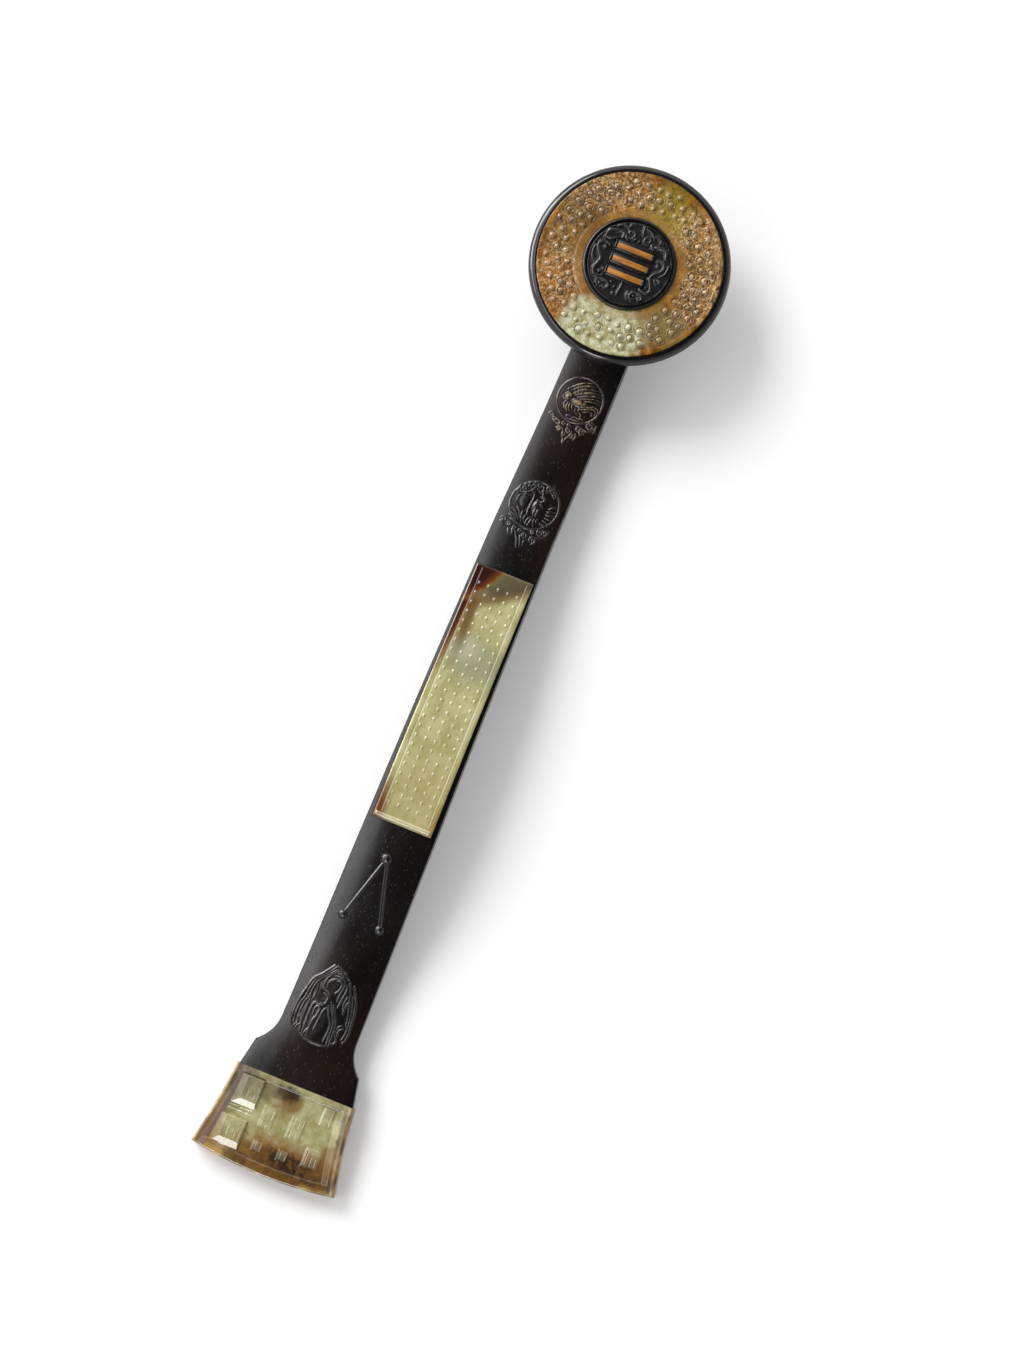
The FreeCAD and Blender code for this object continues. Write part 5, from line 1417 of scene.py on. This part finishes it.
# Frame along the sides: where its low inner crest starts and how wide and high it is, where its
# bevel to the panel starts, and how wide that is on the picture's left and right.
FRAME_CREST = (1.3, 0.7, 0.25)
FRAME_BEVEL_FROM = 2.7
FRAME_BEVEL_WIDTHS = (1.9, 3.2)
GROOVE_DEPTH = 0.09
GROOVE_SLOPES = (0.25, 0.25, 0.25, 0.25)
REGISTER_LINES = (0.9, 2.4)
REGISTER_LINE_WIDTH = 0.4
REGISTER_LINE_DEPTH = 0.12
REGISTER_LINE_ENDS = -9.5
# Old nicks in the tip's edge: place, width and depth, in metres.
TIP_NICKS = [(0.0010, 0.0011, 0.00035), (-0.0050, 0.0020, 0.00020), (0.0065, 0.0009, 0.00025),
             (-0.0165, 0.0014, 0.00022), (0.0190, 0.0012, 0.00015)]


def fretted_chape():
    """The chape: a framed panel with two registers of squared scrolls in raised blocks."""
    piece, share_x, share_y = grid("fretted_chape", *CHAPE_CELLS)
    across = (share_y - 0.5) * 2
    tip_x = FOOT_TIP_X + CHAPE_TIP_BOW * across ** 2
    x = tip_x + share_x * (JUNCTION_X - tip_x)
    for place, width, depth in TIP_NICKS:
        nick = np.exp(-((across * CHAPE_HALF_WIDTH_AT_TIP - place) / width) ** 2)
        x = x + depth * nick * (1 - share_x) ** 8
    half = chape_half_width(x)
    y = across * half
    right, up = -y / MM, (x - CHAPE_MIDDLE_X) / MM
    from_side = (half - np.abs(y)) / MM
    from_shaft = (JUNCTION_X - x) / MM
    from_tip = (x - tip_x) / MM
    edge = np.minimum(from_side, from_tip)
    crest_from, crest_width, crest_height = FRAME_CREST
    crest = np.clip((from_side - crest_from) / crest_width, 0, 1) * crest_height
    bevel = np.clip((from_side - FRAME_BEVEL_FROM) / np.where(y > 0, *FRAME_BEVEL_WIDTHS), 0, 1)
    panel = np.minimum.reduce([
        bevel, step_up(from_shaft, CHAPE_PANEL_FROM_SHAFT, CHAPE_PANEL_STEP),
        step_up(from_tip, CHAPE_PANEL_FROM_TIP, CHAPE_PANEL_STEP)])
    top = -np.maximum(crest, panel * CHAPE_PANEL_DEPTH)
    blocks = np.zeros(len(x))
    for low, high, slopes, height in FRET_BLOCKS:
        blocks = np.maximum(blocks, raised_block(right, up, low, high, height, slopes))
    carry(piece, "ridge", blocks)
    for low, high in FRET_GROOVES:
        blocks = blocks - raised_block(right, up, low, high, GROOVE_DEPTH, GROOVE_SLOPES)
    for place in REGISTER_LINES:
        line = REGISTER_LINE_DEPTH * arch(up - place, REGISTER_LINE_WIDTH)
        blocks = blocks - line * np.clip((REGISTER_LINE_ENDS - right) / 2, 0, 1)
    carry(piece, "edge", np.minimum(from_side, from_tip + 0.3))
    carry(piece, "bevel", np.clip(bevel * (1 - bevel) * 8, 0, 1) * (y > 0))
    top = top + blocks * panel
    chamfer = rounded_off(edge, CHAPE_CHAMFER)
    slope = (x - FOOT_TIP_X) / (JUNCTION_X - FOOT_TIP_X)
    face = CHAPE_TIP_THICKNESS + slope * (FOOT_THICKNESS - CHAPE_TIP_THICKNESS)
    z = face + (top - chamfer) * MM
    move_points(piece, np.stack([x, y + lean(x), z], 1))
    close_below(piece, 0.0)
    return piece


finished(fretted_chape(), clouded_jade, ["jade_chape"], 40)

# ---------------------------------------------------------------- hidden pegs

for node in ("boss_peg", "head_dowel_rear", "head_dowel_front"):
    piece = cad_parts[node]
    piece.data.materials.clear()
    piece.data.materials.append(hidden_wood)

# ---------------------------------------------------------------- floor, light and camera

FLOOR_GLOW = 0.13
FLOOR_SIZE = 8
FLOOR_Z = -0.0002
PAPER_WHITE = (0.95, 0.95, 0.95, 1)
WHITE = (1, 1, 1, 1)


def studio_floor():
    """White paper, a little paler to the camera, as on an overexposed ground."""
    deselect()
    bpy.ops.mesh.primitive_plane_add(size=FLOOR_SIZE, location=(0, 0, FLOOR_Z))
    floor = bpy.context.active_object
    floor.name = "studio_floor"
    material = bpy.data.materials.new("white paper")
    material.use_nodes = True
    surface = material.node_tree.nodes["Principled BSDF"]
    surface.inputs["Base Color"].default_value = PAPER_WHITE
    surface.inputs["Roughness"].default_value = 0.9
    surface.inputs["Specular IOR Level"].default_value = 0.0
    surface.inputs["Emission Color"].default_value = WHITE
    seen = material.node_tree.nodes.new("ShaderNodeLightPath").outputs["Is Camera Ray"]
    glow = material.node_tree.nodes.new("ShaderNodeMath")
    glow.operation = "MULTIPLY"
    glow.inputs[1].default_value = FLOOR_GLOW
    material.node_tree.links.new(seen, glow.inputs[0])
    material.node_tree.links.new(glow.outputs["Value"], surface.inputs["Emission Strength"])
    floor.data.materials.append(material)


def graded(nodes, links, value, low, high, to_low, to_high):
    """A value of the world's nodes taken from one range to another, with the ends held."""
    node = nodes.new("ShaderNodeMapRange")
    node.interpolation_type = "SMOOTHSTEP"
    for socket, number in (
            ("From Min", low), ("From Max", high), ("To Min", to_low), ("To Max", to_high)):
        node.inputs[socket].default_value = number
    links.new(value, node.inputs["Value"])
    return node.outputs["Result"]


# The level direction towards the picture's left, and the two ranges over which the room's
# brightness changes: from its right to its left, and up towards its ceiling.
LEFTWARD = (0.39, 0.92, 0.0)
RIGHT_TO_LEFT = (-0.7, 0.8)
UP_TO_CEILING = (0.50, 0.95)


def studio_world(right, left, ceiling):
    """A pale room, brighter on the picture's left, whose ceiling is dark over the dark wood."""
    world = bpy.data.worlds.new("pale room")
    world.use_nodes = True
    bpy.context.scene.world = world
    nodes, links = world.node_tree.nodes, world.node_tree.links
    direction = nodes.new("ShaderNodeTexCoord").outputs["Generated"]
    split = nodes.new("ShaderNodeSeparateXYZ")
    links.new(direction, split.inputs["Vector"])
    leftward = nodes.new("ShaderNodeVectorMath")
    leftward.operation = "DOT_PRODUCT"
    links.new(direction, leftward.inputs[0])
    leftward.inputs[1].default_value = LEFTWARD
    walls = graded(nodes, links, leftward.outputs["Value"], *RIGHT_TO_LEFT, right, left)
    above = graded(nodes, links, split.outputs["Z"], *UP_TO_CEILING, 1.0, ceiling)
    strength = nodes.new("ShaderNodeMath")
    strength.operation = "MULTIPLY"
    links.new(walls, strength.inputs[0])
    links.new(above, strength.inputs[1])
    links.new(strength.outputs["Value"], nodes["Background"].inputs["Strength"])
    nodes["Background"].inputs["Color"].default_value = WHITE


def placed(data, place):
    """A lamp or camera of the scene, at its place."""
    thing = bpy.data.objects.new(data.name, data)
    bpy.context.scene.collection.objects.link(thing)
    thing.location = place
    return thing


def window_light(towards, strength, spread):
    """The soft key light from the picture's upper left."""
    light = bpy.data.lights.new("window", "SUN")
    light.energy = strength
    light.angle = spread
    lamp = placed(light, towards)
    lamp.rotation_euler = (-Vector(towards)).to_track_quat("-Z", "Y").to_euler()


def reflected_panel(name, place, size, glow, about_x=0.0, about_y=0.0):
    """A panel that only shows as a reflection in the polish, and leaves the floor even."""
    light = bpy.data.lights.new(name, "AREA")
    light.shape = "RECTANGLE"
    light.size, light.size_y = size
    light.energy = glow * math.pi * size[0] * size[1]
    lamp = placed(light, place)
    lamp.rotation_euler = (math.radians(about_x), math.radians(about_y), 0)
    lamp.visible_camera = False
    lamp.visible_diffuse = False


CAMERA_PLACE = Vector((-0.084, -0.100, 1.500))
CAMERA_AIM = Vector((0.0044, -0.0175, 0.0))
CAMERA_UP_ANGLE = 22.142
FOCAL_LENGTH = 101.18
SENSOR_WIDTH = 36


def studio_camera():
    """The photograph's viewpoint: nearly overhead, with the head up and to the right."""
    lens = bpy.data.cameras.new("camera")
    lens.lens = FOCAL_LENGTH
    lens.sensor_width = SENSOR_WIDTH
    camera = placed(lens, CAMERA_PLACE)
    back = (CAMERA_PLACE - CAMERA_AIM).normalized()
    turn = math.radians(CAMERA_UP_ANGLE)
    wanted_up = Vector((math.cos(turn), math.sin(turn), 0))
    right = wanted_up.cross(back).normalized()
    up = back.cross(right)
    camera.rotation_mode = "QUATERNION"
    camera.rotation_quaternion = Matrix((right, up, back)).transposed().to_quaternion()
    bpy.context.scene.camera = camera


studio_floor()
studio_world(right=0.62, left=1.80, ceiling=0.05)
window_light(towards=(0.22, 0.34, 0.25), strength=2.3, spread=0.55)
reflected_panel("overhead panel", (-0.15, 0.61, 1.40), (1.50, 0.46), glow=3.6)
reflected_panel("left panel", (0.20, 0.95, 0.46), (1.10, 0.44), glow=5.0, about_x=-64)
reflected_panel("low side panel", (0.30, 1.05, 0.12), (0.80, 0.18), glow=22.0, about_x=-82)
reflected_panel("foot panel", (-0.90, 0.08, 0.55), (0.44, 0.26), glow=11.0, about_y=-55)
studio_camera()
bpy.context.scene.view_settings.view_transform = "Standard"
